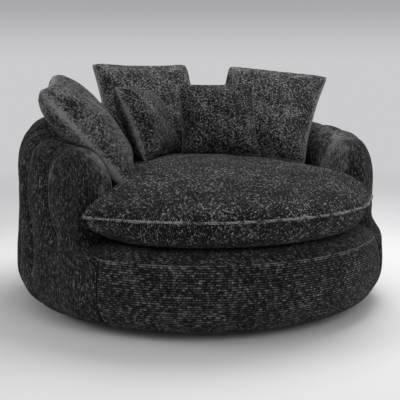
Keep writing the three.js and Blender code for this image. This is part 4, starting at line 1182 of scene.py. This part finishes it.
@dataclass
class SeatCushion:
    """The loose seat cushion, with a knife-edge seam all round.

    Attributes:
        seam_z: Height of the seam.
        crown: From there up to the top.
        under: From there down to the deck.
        back_power: How square the top's edge is at the back, against 1 in front.
        ear_deg: From straight ahead to the ears' tips.
        ear_fuller: How much squarer the top's edge is at the right and the left ear, and how far round.
        under_shape: Depth of the underside from the middle to the seam, as shares of both.
        ear_under: The same at the ears.
        lip: How far the seam's ridge stands out.
    """

    seam_z: float = 0.408
    crown: float = 0.148
    under: float = 0.1077
    back_power: float = 0.6
    ear_deg: float = 55.5
    ear_fuller: tuple[tuple[float, float], ...] = ((0.36, 0.2), (0.16, 0.12))
    under_shape: tuple[tuple[float, ...], ...] = ((0.0, 0.7, 0.88, 0.95, 0.985, 1.0), (1.0, 1.0, 0.93, 0.76, 0.5, 0.0))
    ear_under: tuple[tuple[float, ...], ...] = ((0.0, 0.70, 0.85, 0.957, 1.0), (1.0, 1.0, 0.82, 0.45, 0.0))
    lip: float = 0.011
    plan: SeatPlan = field(default_factory=lambda: SeatPlan(0.698, 0.704, 0.668, 0.463, 0.017))
    columns: int = 400
    rows: int = 34

    def build(self, finish: bpy.types.Material) -> bpy.types.Object:
        """Makes the cushion.

        Args:
            finish: The chenille with its rows slanting.

        Returns:
            The cushion.
        """
        outline = self.plan.outline(self.columns, 0.010)
        outline = np.vstack([outline, outline[:1]])
        middle = np.array(self.plan.middle)
        arms = outline - middle
        lengths = np.linalg.norm(arms, axis=1)
        towards_back = np.clip(outline[:, 1] / self.plan.back_r, 0.0, 1.0)
        power = 1.0 + (self.back_power - 1.0) * towards_back
        shares = np.sin(np.linspace(0.0, 1.0, self.rows) * math.pi / 2) ** 0.8
        top_up = (1.0 - shares**1.9) ** 0.62
        down = np.interp(shares, *self.under_shape)
        tips = polar(np.array([180.0 - self.ear_deg, 180.0 + self.ear_deg]), self.plan.front_r, 0.0)[:, :2]
        from_tips = np.linalg.norm(outline[:, None] - tips, axis=2)
        near_tip = np.exp(-((from_tips.min(axis=1) / 0.16) ** 2))
        for tip, (fuller, reach) in enumerate(self.ear_fuller):
            power = power - fuller * np.exp(-((from_tips[:, tip] / reach) ** 2))
        top_z = self.crown * top_up[:, None] ** power[None, :]
        ear_down = np.interp(shares, *self.ear_under)
        under_z = -self.under * (down[:, None] * (1 - near_tip) + ear_down[:, None] * near_tip)
        top_z = self.evened(top_z, shares)
        rings = middle + arms[None] * shares[:, None, None]
        lip_out = np.array([0.55, 1.0, 1.0, 0.55])[:, None, None] * self.lip
        lip = middle + arms[None] * (1.0 + lip_out / lengths[None, :, None])
        lip_z = np.array([0.0042, 0.0026, -0.0026, -0.0042])[:, None] * np.ones((1, outline.shape[0]))
        top = np.concatenate([rings, (self.seam_z + top_z)[..., None]], axis=-1)
        under = np.concatenate([rings, (self.seam_z + under_z)[..., None]], axis=-1)[::-1]
        edge = np.concatenate([lip, (self.seam_z + lip_z)[..., None]], axis=-1)
        points = np.concatenate([top, edge, under[1:]])
        points = self.rumpled(points, outline)
        # Painted highlight: a pale broken line along the seam's ridge
        painted_highlight = np.zeros(points.shape[:2])
        broken = np.clip(0.85 + 1.2 * rumple(points[self.rows], 0.035, 51.0, 2), 0.35, 1.0)
        painted_highlight[self.rows - 2 : self.rows + 5] = np.array([0.35, 0.7, 1.0, 1.0, 1.0, 0.8, 0.4])[:, None] * broken
        cushion = woven_sheet("seat_cushion", points, self.yarn_run(points, arms), painted_highlight=painted_highlight, closed_body=True)
        self.core(points)
        cushion.data.materials.append(finish)
        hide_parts("seat_cushion_cover")
        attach(cushion, "seat")
        return cushion

    def yarn_run(self, points: np.ndarray, arms: np.ndarray) -> np.ndarray:
        """The yarn's run: laid out flat from the middle of the top, over the seam and on under the cushion.

        Args:
            points: The cover's points.
            arms: From the middle to each point of the outline.

        Returns:
            Metres in two directions, rows by columns by 2.
        """
        steps = np.linalg.norm(np.diff(points, axis=0, prepend=points[:1]), axis=-1)
        way = arms / np.linalg.norm(arms, axis=1, keepdims=True)
        return np.array(self.plan.middle) + way[None] * np.cumsum(steps, axis=0)[..., None]

    def core(self, points: np.ndarray) -> None:
        """The fibre filling inside the cover, a little smaller all round.

        Args:
            points: The cover's points.
        """
        keep = np.r_[0 : self.rows - 2 : 2, self.rows + 6 : points.shape[0] : 2, points.shape[0] - 1]
        inner = points[keep][:, ::2].copy()
        middle = np.array([*self.plan.middle, self.seam_z])
        inner[..., :2] = middle[:2] + (inner[..., :2] - middle[:2]) * 0.975
        inner[..., 2] = middle[2] + (inner[..., 2] - middle[2]) * 0.93
        core = woven_sheet("seat_cushion_filling", inner, inner[..., :2].copy(), closed_body=True)
        core.data.materials.append(bpy.data.materials[HIDDEN_FINISHES["fibre_filling"].name])
        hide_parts("seat_cushion_core")
        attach(core, "seat")

    def evened(self, heights: np.ndarray, shares: np.ndarray) -> np.ndarray:
        """Evens heights out along each ring, more towards the middle, so that no crease runs in from a corner.

        Args:
            heights: Rings by columns, the first column repeated at the end.
            shares: From 0 in the middle to 1 at the seam, for each ring.

        Returns:
            The evened heights.
        """
        even = heights[:, :-1]
        for _ in range(EVENING_ROUNDS):
            mean = (np.roll(even, 1, axis=1) + np.roll(even, -1, axis=1)) / 2
            even = even + (mean - even) * (1.0 - shares[:, None] ** 6) * 0.9
        return np.concatenate([even, even[:, :1]], axis=1)

    def rumpled(self, points: np.ndarray, outline: np.ndarray) -> np.ndarray:
        """Adds the low swells of the filling and the puckers along the seam.

        Args:
            points: The cover's points.
            outline: The seam's outline, the first point repeated at the end.

        Returns:
            The moved points.
        """
        rows = points.shape[0]
        seam_row = self.rows
        from_seam = np.abs(np.arange(rows) - (seam_row + 1.5))[:, None]
        near_seam = np.exp(-((from_seam / 9.0) ** 2))
        run = np.concatenate([[0.0], np.cumsum(np.linalg.norm(np.diff(outline, axis=0), axis=1))])
        along = np.stack([outline[:, 0], outline[:, 1], 0.0 * run], axis=-1)
        pucker = rumple(along, 0.045, 70.0, 2)[None, :] * near_seam * (1 - np.exp(-((from_seam / 2.5) ** 2)))
        swell = rumple(points, 0.22, 80.0, 2) * (1.0 - near_seam)
        small = rumple(points, 0.06, 90.0, 2) * (1.0 - np.exp(-((from_seam / 4.0) ** 2)))
        wave = rumple(along, 0.12, 60.0, 2)[None, :] * np.exp(-((from_seam / 5.0) ** 2))
        moved = points.copy()
        tip = polar(np.array(180.0 - self.ear_deg), self.plan.right_ear_r, 0.0)[:2]
        other = polar(np.array(180.0 + self.ear_deg), self.plan.left_ear_r, 0.0)[:2]
        at_right = np.exp(-((np.linalg.norm(points[..., :2] - tip, axis=-1) / 0.13) ** 2))
        at_left = np.exp(-((np.linalg.norm(points[..., :2] - other, axis=-1) / 0.08) ** 2))
        crumple = rumple(points, 0.05, 33.0, 2) * (at_right + 0.7 * at_left)
        is_top = (np.arange(rows) <= seam_row + 1)[:, None]
        sign = np.where(is_top, 1.0, -1.0)
        resting = points[..., 2] < self.seam_z - self.under * 0.9
        change = sign * (0.005 * pucker + 0.008 * swell + 0.0025 * small + 0.016 * crumple)
        moved[..., 2] += np.where(resting, 0.0, change) + 0.003 * wave
        moved[:, -1] = moved[:, 0]
        return moved


@dataclass
class ScatterCushion:
    """A loose square cushion, its cover filled tight in the middle and drawn in between its corners.

    Attributes:
        size: Seam to seam.
        loft: Thickness in the middle.
        place: Its middle.
        facing_deg: Which way it faces, from straight ahead.
        lean_deg: How far it leans back.
        roll_deg: How far it is turned in its own plane.
        seed: Shifts its folds.
        drawn_in: How far the sides are drawn in, as a share.
        blunt: How far the corners are drawn in, as a share.
        fullness: Power of its profile, towards 0 for a box.
        gather: Height of the folds at the seam.
        fan_at: How far from a corner its fan of folds is strongest.
        pucker: Length of the puckers along the seam, and how far in they are strongest.
        cells: Squares along a side.
        overhang: How far it hangs over the roll behind it.
        soft: Thickness over which it gives way where it is pressed flat.
        frames: Length of the simulation.
        most_move: How far the simulation may move a point.
        pad_share: Size of the pad against the cover's.
        pad_gap: Room between the pad and the cover.
        seam_out: How far the seam stands out.
    """

    name: str
    size: float
    loft: float
    place: tuple[float, float, float]
    facing_deg: float
    lean_deg: float
    roll_deg: float
    seed: float
    drawn_in: float = 0.075
    blunt: float = 0.045
    fullness: float = 0.42
    gather: float = 0.0045
    fan_at: float = 0.055
    pucker: float = 0.022
    cells: int = 50
    overhang: float = 0.0
    soft: float = 0.012
    frames: int = 20
    most_move: float = 0.009
    pad_share: float = 0.94
    pad_gap: float = 0.006
    seam_out: float = 0.003

    def matrix(self) -> Matrix:
        """Its place: x across, y up its face and z out of it.

        Returns:
            The way from its own axes to the chair's.
        """
        return (
            Matrix.Translation(self.place)
            @ Matrix.Rotation(math.radians(self.facing_deg), 4, "Z")
            @ Matrix.Rotation(math.radians(90.0 - self.lean_deg), 4, "X")
            @ Matrix.Rotation(math.radians(self.roll_deg), 4, "Z")
        )

    def sewn_cover(self) -> bpy.types.Object:
        """The cover as it is sewn: two sheets joined at the seam, a little fuller in the middle.

        Returns:
            The cover, at the origin.
        """
        n, half = self.cells, self.size / 2
        steps = np.linspace(-1.0, 1.0, n + 1)
        steps = np.sign(steps) * (1.0 - (1.0 - np.abs(steps)) ** 1.15)
        x, y = np.meshgrid(steps, steps)
        corner = 1.0 - self.blunt * (np.abs(x) * np.abs(y)) ** 9
        drawn_x = 1.0 - self.drawn_in * (1.0 - np.abs(y) ** 2.2) * np.abs(x) ** 3
        drawn_y = 1.0 - self.drawn_in * (1.0 - np.abs(x) ** 2.2) * np.abs(y) ** 3
        full = ((1.0 - np.abs(x) ** 2.3) * (1.0 - np.abs(y) ** 2.3)) ** self.fullness
        seed = np.stack([x, y, 0 * x], axis=-1)
        uneven = 1.0 + 0.10 * rumple(seed, 0.8, self.seed)
        height = self.loft / 2 * full * uneven + self.gathered(x, y)
        flat_x, flat_y = half * x * corner * drawn_x, half * y * corner * drawn_y
        yarn_x, yarn_y = self.laid_out(flat_x, height, 1), self.laid_out(flat_y, height, 0)
        bm = bmesh.new()
        layer = bm.loops.layers.uv.new(YARN_MAP)
        highlight_layer = bm.verts.layers.float.new(PAINTED_HIGHLIGHT)
        bmesh.ops.create_grid(bm, x_segments=n, y_segments=n, size=1.0)
        place = {v: (round((v.co.y + 1) / 2 * n), round((v.co.x + 1) / 2 * n)) for v in bm.verts}
        for face in bm.faces:
            for loop in face.loops:
                i, j = place[loop.vert]
                loop[layer].uv = (yarn_x[i, j], yarn_y[i, j])
        for vert, (i, j) in place.items():
            vert.co = (flat_x[i, j], flat_y[i, j], height[i, j])
            # Painted highlight: full on the seam, fainter just beside it
            at_seam = max(abs(x[i, j]), abs(y[i, j]))
            beside = 0.22 * float(smoothstep(0.94, 0.98, at_seam))
            vert[highlight_layer] = 1.0 if at_seam > 0.999 else beside
        bmesh.ops.mirror(bm, geom=bm.verts[:] + bm.edges[:] + bm.faces[:], axis="Z", merge_dist=MERGE)
        bmesh.ops.remove_doubles(bm, verts=bm.verts, dist=MERGE)
        bmesh.ops.recalc_face_normals(bm, faces=bm.faces)
        if bm.calc_volume(signed=True) < 0.0:
            bmesh.ops.reverse_faces(bm, faces=bm.faces)
        for vert in bm.verts:
            vert.co.z += 0.010 * noise.noise(Vector((vert.co.x / 0.3 + self.seed, vert.co.y / 0.3, self.seed)))
        return finished(self.name + "_cushion", bm)

    def laid_out(self, flat: np.ndarray, height: np.ndarray, axis: int) -> np.ndarray:
        """Lengths along the cloth from its middle line.

        Args:
            flat: Places across or up.
            height: Heights of the same points.
            axis: 1 across, 0 up.

        Returns:
            Metres from the middle, negative before it.
        """
        steps = np.hypot(np.diff(flat, axis=axis), np.diff(height, axis=axis))
        run = np.insert(np.cumsum(steps, axis=axis), 0, 0.0, axis=axis)
        return run - np.take(run, [self.cells // 2], axis=axis)

    def gathered(self, x: np.ndarray, y: np.ndarray) -> np.ndarray:
        """Small folds that fan out from the corners and stand along the seam.

        Args:
            x: Places across, from -1 to 1.
            y: Places up, from -1 to 1.

        Returns:
            Heights to add.
        """
        half = self.size / 2
        in_x, in_y = (1.0 - np.abs(x)) * half, (1.0 - np.abs(y)) * half
        fan = np.arctan2(in_y, in_x)
        away = np.hypot(in_x, in_y)
        corner = np.cos(fan * 9.0 + self.seed + x + 2.0 * y) * np.exp(-(((away - self.fan_at) / 0.045) ** 2))
        edge = np.minimum(in_x, in_y)
        run = np.stack([x * half / self.pucker, y * half / self.pucker, 0.0 * x], axis=-1)
        along = rumple(run, 1.0, self.seed + 11.0, 1) * np.exp(-(((edge - self.pucker) / 0.02) ** 2))
        return self.gather * (corner + along) * smoothstep(0.0, 0.012, edge)

    def filled(self, cover: bpy.types.Object, sewn: np.ndarray) -> np.ndarray:
        """Lets the filling press the cover out as cloth, its seam gathered in.

        Args:
            cover: The sewn cover.
            sewn: Its vertices.

        Returns:
            Its vertices when filled.
        """
        seam = cover.vertex_groups.new(name="seam")
        # The seam's points are those with the full painted highlight
        painted_highlight = cover.data.attributes[PAINTED_HIGHLIGHT].data
        seam.add([i for i in range(len(sewn)) if painted_highlight[i].value > 0.5], 1.0, "REPLACE")
        cloth = cover.modifiers.new("filling", "CLOTH")
        settings = cloth.settings
        settings.quality = 6
        settings.mass = 0.3
        settings.tension_stiffness = 12.0
        settings.compression_stiffness = 12.0
        settings.shear_stiffness = 6.0
        settings.bending_stiffness = 0.2
        settings.tension_damping = 8.0
        settings.use_pressure = True
        settings.uniform_pressure_force = 5.0
        settings.effector_weights.gravity = 0.0
        settings.vertex_group_shrink = "seam"
        settings.shrink_min = -0.035
        settings.shrink_max = 0.02
        cloth.point_cache.frame_start = 1
        cloth.point_cache.frame_end = self.frames
        scene = bpy.context.scene
        for step in range(1, self.frames + 1):
            scene.frame_set(step)
        shaped = cover.evaluated_get(bpy.context.evaluated_depsgraph_get()).to_mesh()
        coordinates = np.empty(len(shaped.vertices) * 3)
        shaped.vertices.foreach_get("co", coordinates)
        cover.modifiers.remove(cloth)
        cover.vertex_groups.remove(seam)
        scene.frame_set(1)
        moves = coordinates.reshape(-1, 3) - sewn
        far = np.linalg.norm(moves, axis=1, keepdims=True)
        return sewn + moves * np.minimum(1.0, self.most_move / np.maximum(far, 1e-9))

    def build(self, finish: bpy.types.Material, rests_on: list[BVHTree], simulate: bool) -> bpy.types.Object:
        """Makes the cushion and sets it in its place.

        Args:
            finish: The chenille.
            rests_on: Surfaces that it lies on or leans against.
            simulate: False for a quick plain pillow.

        Returns:
            The cushion.
        """
        cover = self.sewn_cover()
        sewn = np.empty(len(cover.data.vertices) * 3)
        cover.data.vertices.foreach_get("co", sewn)
        sewn = sewn.reshape(-1, 3)
        points = self.filled(cover, sewn) if simulate else sewn.copy()
        node = frame["nodes"][self.name + "_cover"]
        into_place = self.matrix()
        to_local = into_place.inverted()
        behind = min((to_local @ v.co).z for v in node.data.vertices)
        depth = -behind + self.overhang
        z = points[:, 2]
        low = z < -depth + self.soft
        points[low, 2] = -depth + self.soft * np.exp((z[low] + depth - self.soft) / self.soft)
        placed = [into_place @ Vector(p) for p in points]
        placed = [self.kept_clear(p, rests_on) for p in placed]
        cover.data.vertices.foreach_set("co", np.array(placed).ravel())
        cover.data.update()
        cover.data.materials.append(finish)
        self.inner_pad(cover)
        self.pinch_seam(cover)
        subdivided(cover)
        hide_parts(self.name + "_cover")
        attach(cover, self.name)
        return cover

    def inner_pad(self, cover: bpy.types.Object) -> None:
        """The fibre pad inside the cover, from the cover's own shape before its seam is drawn out.

        Args:
            cover: The cover, in its place.
        """
        bm = bmesh.new()
        bm.from_mesh(cover.data)
        bm.normal_update()
        inwards = {vert: vert.normal.copy() for vert in bm.verts}
        middle = Vector(self.place)
        skin = BVHTree.FromBMesh(bm)
        for vert, normal in inwards.items():
            vert.co = middle + (vert.co - middle) * self.pad_share - normal * 0.004
        for vert in bm.verts:
            near, outwards, _, _ = skin.find_nearest(vert.co)
            if (vert.co - near).dot(outwards) > -0.005:
                vert.co = near - outwards * self.pad_gap
            for _ in range(8):
                near, outwards, _, _ = skin.find_nearest(vert.co)
                if (vert.co - near).dot(outwards) < -self.pad_gap / 2:
                    break
                vert.co = vert.co.lerp(middle, 0.06)
        pad = finished(self.name + "_inner_pad", bm)
        pad.data.materials.clear()
        pad.data.materials.append(bpy.data.materials[HIDDEN_FINISHES["fibre_filling"].name])
        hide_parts(self.name + "_pad")
        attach(pad, self.name)

    def pinch_seam(self, cover: bpy.types.Object) -> None:
        """Draws the seam out into a thin edge and keeps it sharp when the cover is subdivided.

        Args:
            cover: The cover, in its place.
        """
        bm = bmesh.new()
        bm.from_mesh(cover.data)
        crease = bm.edges.layers.float.new("crease_edge")
        # The seam's points are found by their full painted highlight
        highlight_layer = bm.verts.layers.float[PAINTED_HIGHLIGHT]
        middle = Vector(self.place)
        for vert in bm.verts:
            if vert[highlight_layer] > 0.5:
                vert.co += (vert.co - middle).normalized() * self.seam_out
        for edge in bm.edges:
            if all(v[highlight_layer] > 0.5 for v in edge.verts):
                edge[crease] = 0.45
        bm.to_mesh(cover.data)
        bm.free()

    def kept_clear(self, point: Vector, surfaces: list[BVHTree], gap: float = 0.002) -> Vector:
        """Moves a point out of the pieces that the cushion lies on.

        Args:
            point: The point.
            surfaces: Their faces.
            gap: How far it stays off them.

        Returns:
            The point, moved where it has to be.
        """
        for surface in surfaces:
            near, normal, _, _ = surface.find_nearest(point, REACH)
            if near is not None and (point - near).dot(normal) < gap:
                point = near + normal * gap
        return point


LARGE_CUSHION = 0.4  # a cushion wider than this is one of the large ones, in metres
SCATTERS = (
    ScatterCushion("left_large", 0.486, 0.165, (-0.44496, 0.012, 0.662184), 67, 39, 8, 1.3, overhang=0.060),
    ScatterCushion("back_large", 0.486, 0.165, (-0.0576, 0.432, 0.701352), 6, 29, 0, 2.9, overhang=0.045),
    ScatterCushion("right_large", 0.470, 0.165, (0.37248, 0.1776, 0.692784), -38, 36, -7, 4.4, overhang=0.045),
    ScatterCushion("left_small", 0.344, 0.126, (-0.156, 0.17088, 0.662796), 47, 26, -4, 5.2),
    ScatterCushion("middle_small", 0.344, 0.126, (0.12528, 0.10992, 0.676872), -14, 23, 1, 7.7),
)


@dataclass(frozen=True)
class Lamp:
    """A square soft light aimed at the chair."""

    name: str
    place: tuple[float, float, float]
    size: float
    power: float

    def build(self) -> None:
        """Hangs the lamp."""
        data = bpy.data.lights.new(self.name, "AREA")
        data.shape = "SQUARE"
        data.size = self.size
        data.energy = self.power
        lamp = bpy.data.objects.new(self.name, data)
        lamp.location = self.place
        aim = Vector((0.0, 0.0, 0.4)) - Vector(self.place)
        lamp.rotation_euler = aim.to_track_quat("-Z", "Y").to_euler()
        bpy.context.scene.collection.objects.link(lamp)


@dataclass
class Studio:
    """Floor, backdrop, lamps and the camera at the photograph's angle.

    Attributes:
        turn_deg: How far round to the chair's left the camera stands.
        rise_deg: How far above level it looks down.
        distance: From the camera to its target.
        target: The place that it looks at.
        lens: Focal length in millimetres, on a sensor 36 mm wide.
        shift_up: How far the frame is moved up.
        floor_r: Radius of the floor.
        floor_shades: The floor's two colours near the chair.
        floor_far: The floor's colour further off.
        horizon: Colour low on the backdrop, and of the floor far away.
        upper: Colour of the backdrop higher up.
        light_all_round: Strength of the plain light from all sides.
        lamps: The soft lights.
    """

    turn_deg: float = 22.0
    rise_deg: float = 9.0
    distance: float = 3.3
    target: tuple[float, float, float] = (0.0, 0.0, 0.38)
    lens: float = 74.25
    shift_up: float = -0.0075
    floor_r: float = 40.0
    floor_shades: tuple[tuple[float, float, float], ...] = ((0.84, 0.84, 0.85), (0.88, 0.88, 0.89))
    floor_far: tuple[float, float, float] = (0.70, 0.70, 0.71)
    horizon: tuple[float, float, float] = (0.60, 0.60, 0.615)
    upper: tuple[float, float, float] = (0.37, 0.37, 0.385)
    light_all_round: float = 0.42
    lamps: tuple[Lamp, ...] = (
        Lamp("overhead_light", (1.2, 0.9, 3.2), 2.4, 88.0),
        Lamp("front_light", (0.8, -3.6, 2.4), 2.2, 30.0),
        Lamp("left_light", (-3.3, 0.9, 1.5), 1.2, 20.0),
    )

    def camera(self) -> None:
        """The camera at the photograph's angle."""
        rise, turn = math.radians(self.rise_deg), math.radians(self.turn_deg)
        forward = Vector((math.sin(turn) * math.cos(rise), math.cos(turn) * math.cos(rise), -math.sin(rise)))
        data = bpy.data.cameras.new("camera")
        data.lens = self.lens
        data.sensor_width = 36.0
        data.shift_y = self.shift_up
        data.clip_end = 100.0
        camera = bpy.data.objects.new("camera", data)
        camera.location = Vector(self.target) - forward * self.distance
        camera.rotation_euler = forward.to_track_quat("-Z", "Y").to_euler()
        bpy.context.scene.collection.objects.link(camera)
        bpy.context.scene.camera = camera

    def floor(self) -> None:
        """A pale floor that fades into the backdrop far away."""
        bm = bmesh.new()
        bmesh.ops.create_circle(bm, cap_ends=True, radius=self.floor_r, segments=96)
        floor = finished("floor", bm)
        material, graph, shader = new_material("pale_floor")
        place = graph.node("ShaderNodeTexCoord").outputs["Object"]
        flat = graph.node("ShaderNodeVectorMath", {0: place}, operation="LENGTH").outputs["Value"]
        patch = graph.noise(place, 1.3, 2.0)
        pale = graph.blend(patch, *self.floor_shades)
        away = graph.step(flat, 1.0, 1.9)
        graph.feed(shader.inputs["Base Color"], graph.blend(away, pale, self.floor_far))
        shader.inputs["Roughness"].default_value = 0.9
        shader.inputs["Specular IOR Level"].default_value = 0.1
        far = graph.node("ShaderNodeEmission", {"Color": self.horizon, "Strength": 1.0})
        seen = graph.node("ShaderNodeLightPath").outputs["Is Camera Ray"]
        share = graph.math("MULTIPLY", graph.step(flat, 1.3, 4.5), seen)
        mix = graph.node("ShaderNodeMixShader", {0: share, 1: shader.outputs["BSDF"], 2: far.outputs[0]})
        output = next(n for n in graph.tree.nodes if n.type == "OUTPUT_MATERIAL")
        graph.feed(output.inputs["Surface"], mix.outputs[0])
        floor.data.materials.append(material)

    def backdrop(self) -> None:
        """A pale backdrop for the camera, and plain soft light from all round for everything else."""
        world = bpy.data.worlds.new("backdrop")
        bpy.context.scene.world = world
        world.use_nodes = True
        graph = Graph(world.node_tree)
        graph.tree.nodes.clear()
        way = graph.node("ShaderNodeTexCoord").outputs["Generated"]
        up = graph.node("ShaderNodeSeparateXYZ", {0: way}).outputs["Z"]
        shade = graph.blend(graph.step(up, 0.0, 0.09), self.horizon, self.upper)
        seen = graph.node("ShaderNodeBackground", {"Color": shade, "Strength": 1.0})
        light = graph.node("ShaderNodeBackground", {"Color": (1.0, 1.0, 1.0), "Strength": self.light_all_round})
        ray = graph.node("ShaderNodeLightPath").outputs
        through = graph.math("MAXIMUM", ray["Is Glossy Ray"], ray["Is Transmission Ray"])
        either = graph.math("MAXIMUM", ray["Is Camera Ray"], through)
        mix = graph.node("ShaderNodeMixShader", {0: either, 1: light.outputs[0], 2: seen.outputs[0]})
        output = graph.node("ShaderNodeOutputWorld")
        graph.feed(output.inputs["Surface"], mix.outputs[0])

    def build(self) -> None:
        """Makes the whole studio."""
        scene = bpy.context.scene
        scene.view_settings.view_transform = "Standard"
        self.camera()
        self.floor()
        self.backdrop()
        for lamp in self.lamps:
            lamp.build()


def dress_hidden_parts(groups: Groups) -> None:
    """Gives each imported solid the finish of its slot.

    Args:
        groups: The shared node groups.
    """
    slots = {part["node"]: part["material_slot"] for part in frame["record"]["subparts"]}
    made = {slot: finish.made(groups) for slot, finish in HIDDEN_FINISHES.items()}
    for name, node in frame["nodes"].items():
        material = made[slots[name]]
        if not node.material_slots:
            node.data.materials.append(material)
        for slot in node.material_slots:
            slot.link = "OBJECT"
            slot.material = material


def report(piece: bpy.types.Object) -> None:
    """Logs a piece and its faces."""
    log.info("%s: %d faces", piece.name, len(piece.data.polygons))


def main() -> None:
    """Builds the chair and the studio in order."""
    logging.basicConfig(level=logging.INFO, format="%(name)s: %(message)s")
    Studio().build()
    groups = Groups()
    dress_hidden_parts(groups)
    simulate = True
    rising = ChenilleFinish("chenille_rows_up", tuft=0.018, wander=0.004).made(groups)
    going_round = ChenilleFinish("chenille_rows_round", pitch=0.0078, wander=0.003, base=0.36).made(groups)
    on_deck = ChenilleFinish("chenille_on_deck", turn_deg=Weave.SLANTED.value, base=0.42).made(groups)
    bright = ((0.0, 0.003), (0.3, 0.012), (0.5, 0.035), (0.75, 0.12), (1.0, 0.34))
    slanting = ChenilleFinish(
        "chenille_rows_slanted",
        turn_deg=-Weave.SLANTED.value,
        pitch=0.0064,
        tuft=0.011,
        amount=4.4,
        base=0.19,
        highlight_lift=0.7,
        shades=bright,
    ).made(groups)
    # Lit and shaded copies of one chenille: the lighter one for the large cushions, and a darker one with painted shade
    # for the small ones
    askew = ChenilleFinish(
        "chenille_crushed",
        turn_deg=Weave.ASKEW.value,
        pitch=0.0060,
        tuft=0.0085,
        wander=0.010,
        patch=0.09,
        crush=0.30,
        amount=4.2,
        base=0.42,
        highlight_lift=0.8,
        shades=bright,
    )
    crushed = askew.made(groups)
    crushed_painted_shade = replace(askew, name="chenille_crushed_dark", base=0.33).made(groups)

    drum = Drum()
    covers = ArmsAndBack(drum).build(rising)
    for piece in covers:
        report(piece)
    report(FrontBand(drum).build(going_round))
    report(Deck(drum).build(on_deck))
    seat = SeatCushion().build(slanting)
    report(seat)
    surfaces = [surface_of(seat), surface_of(*covers)]
    for scatter in SCATTERS:
        # The small cushions take the copy with painted shade
        finish = crushed if scatter.size > LARGE_CUSHION else crushed_painted_shade
        piece = scatter.build(finish, surfaces, simulate)
        surfaces.append(surface_of(piece))
        report(piece)


if __name__ == "__main__":
    main()
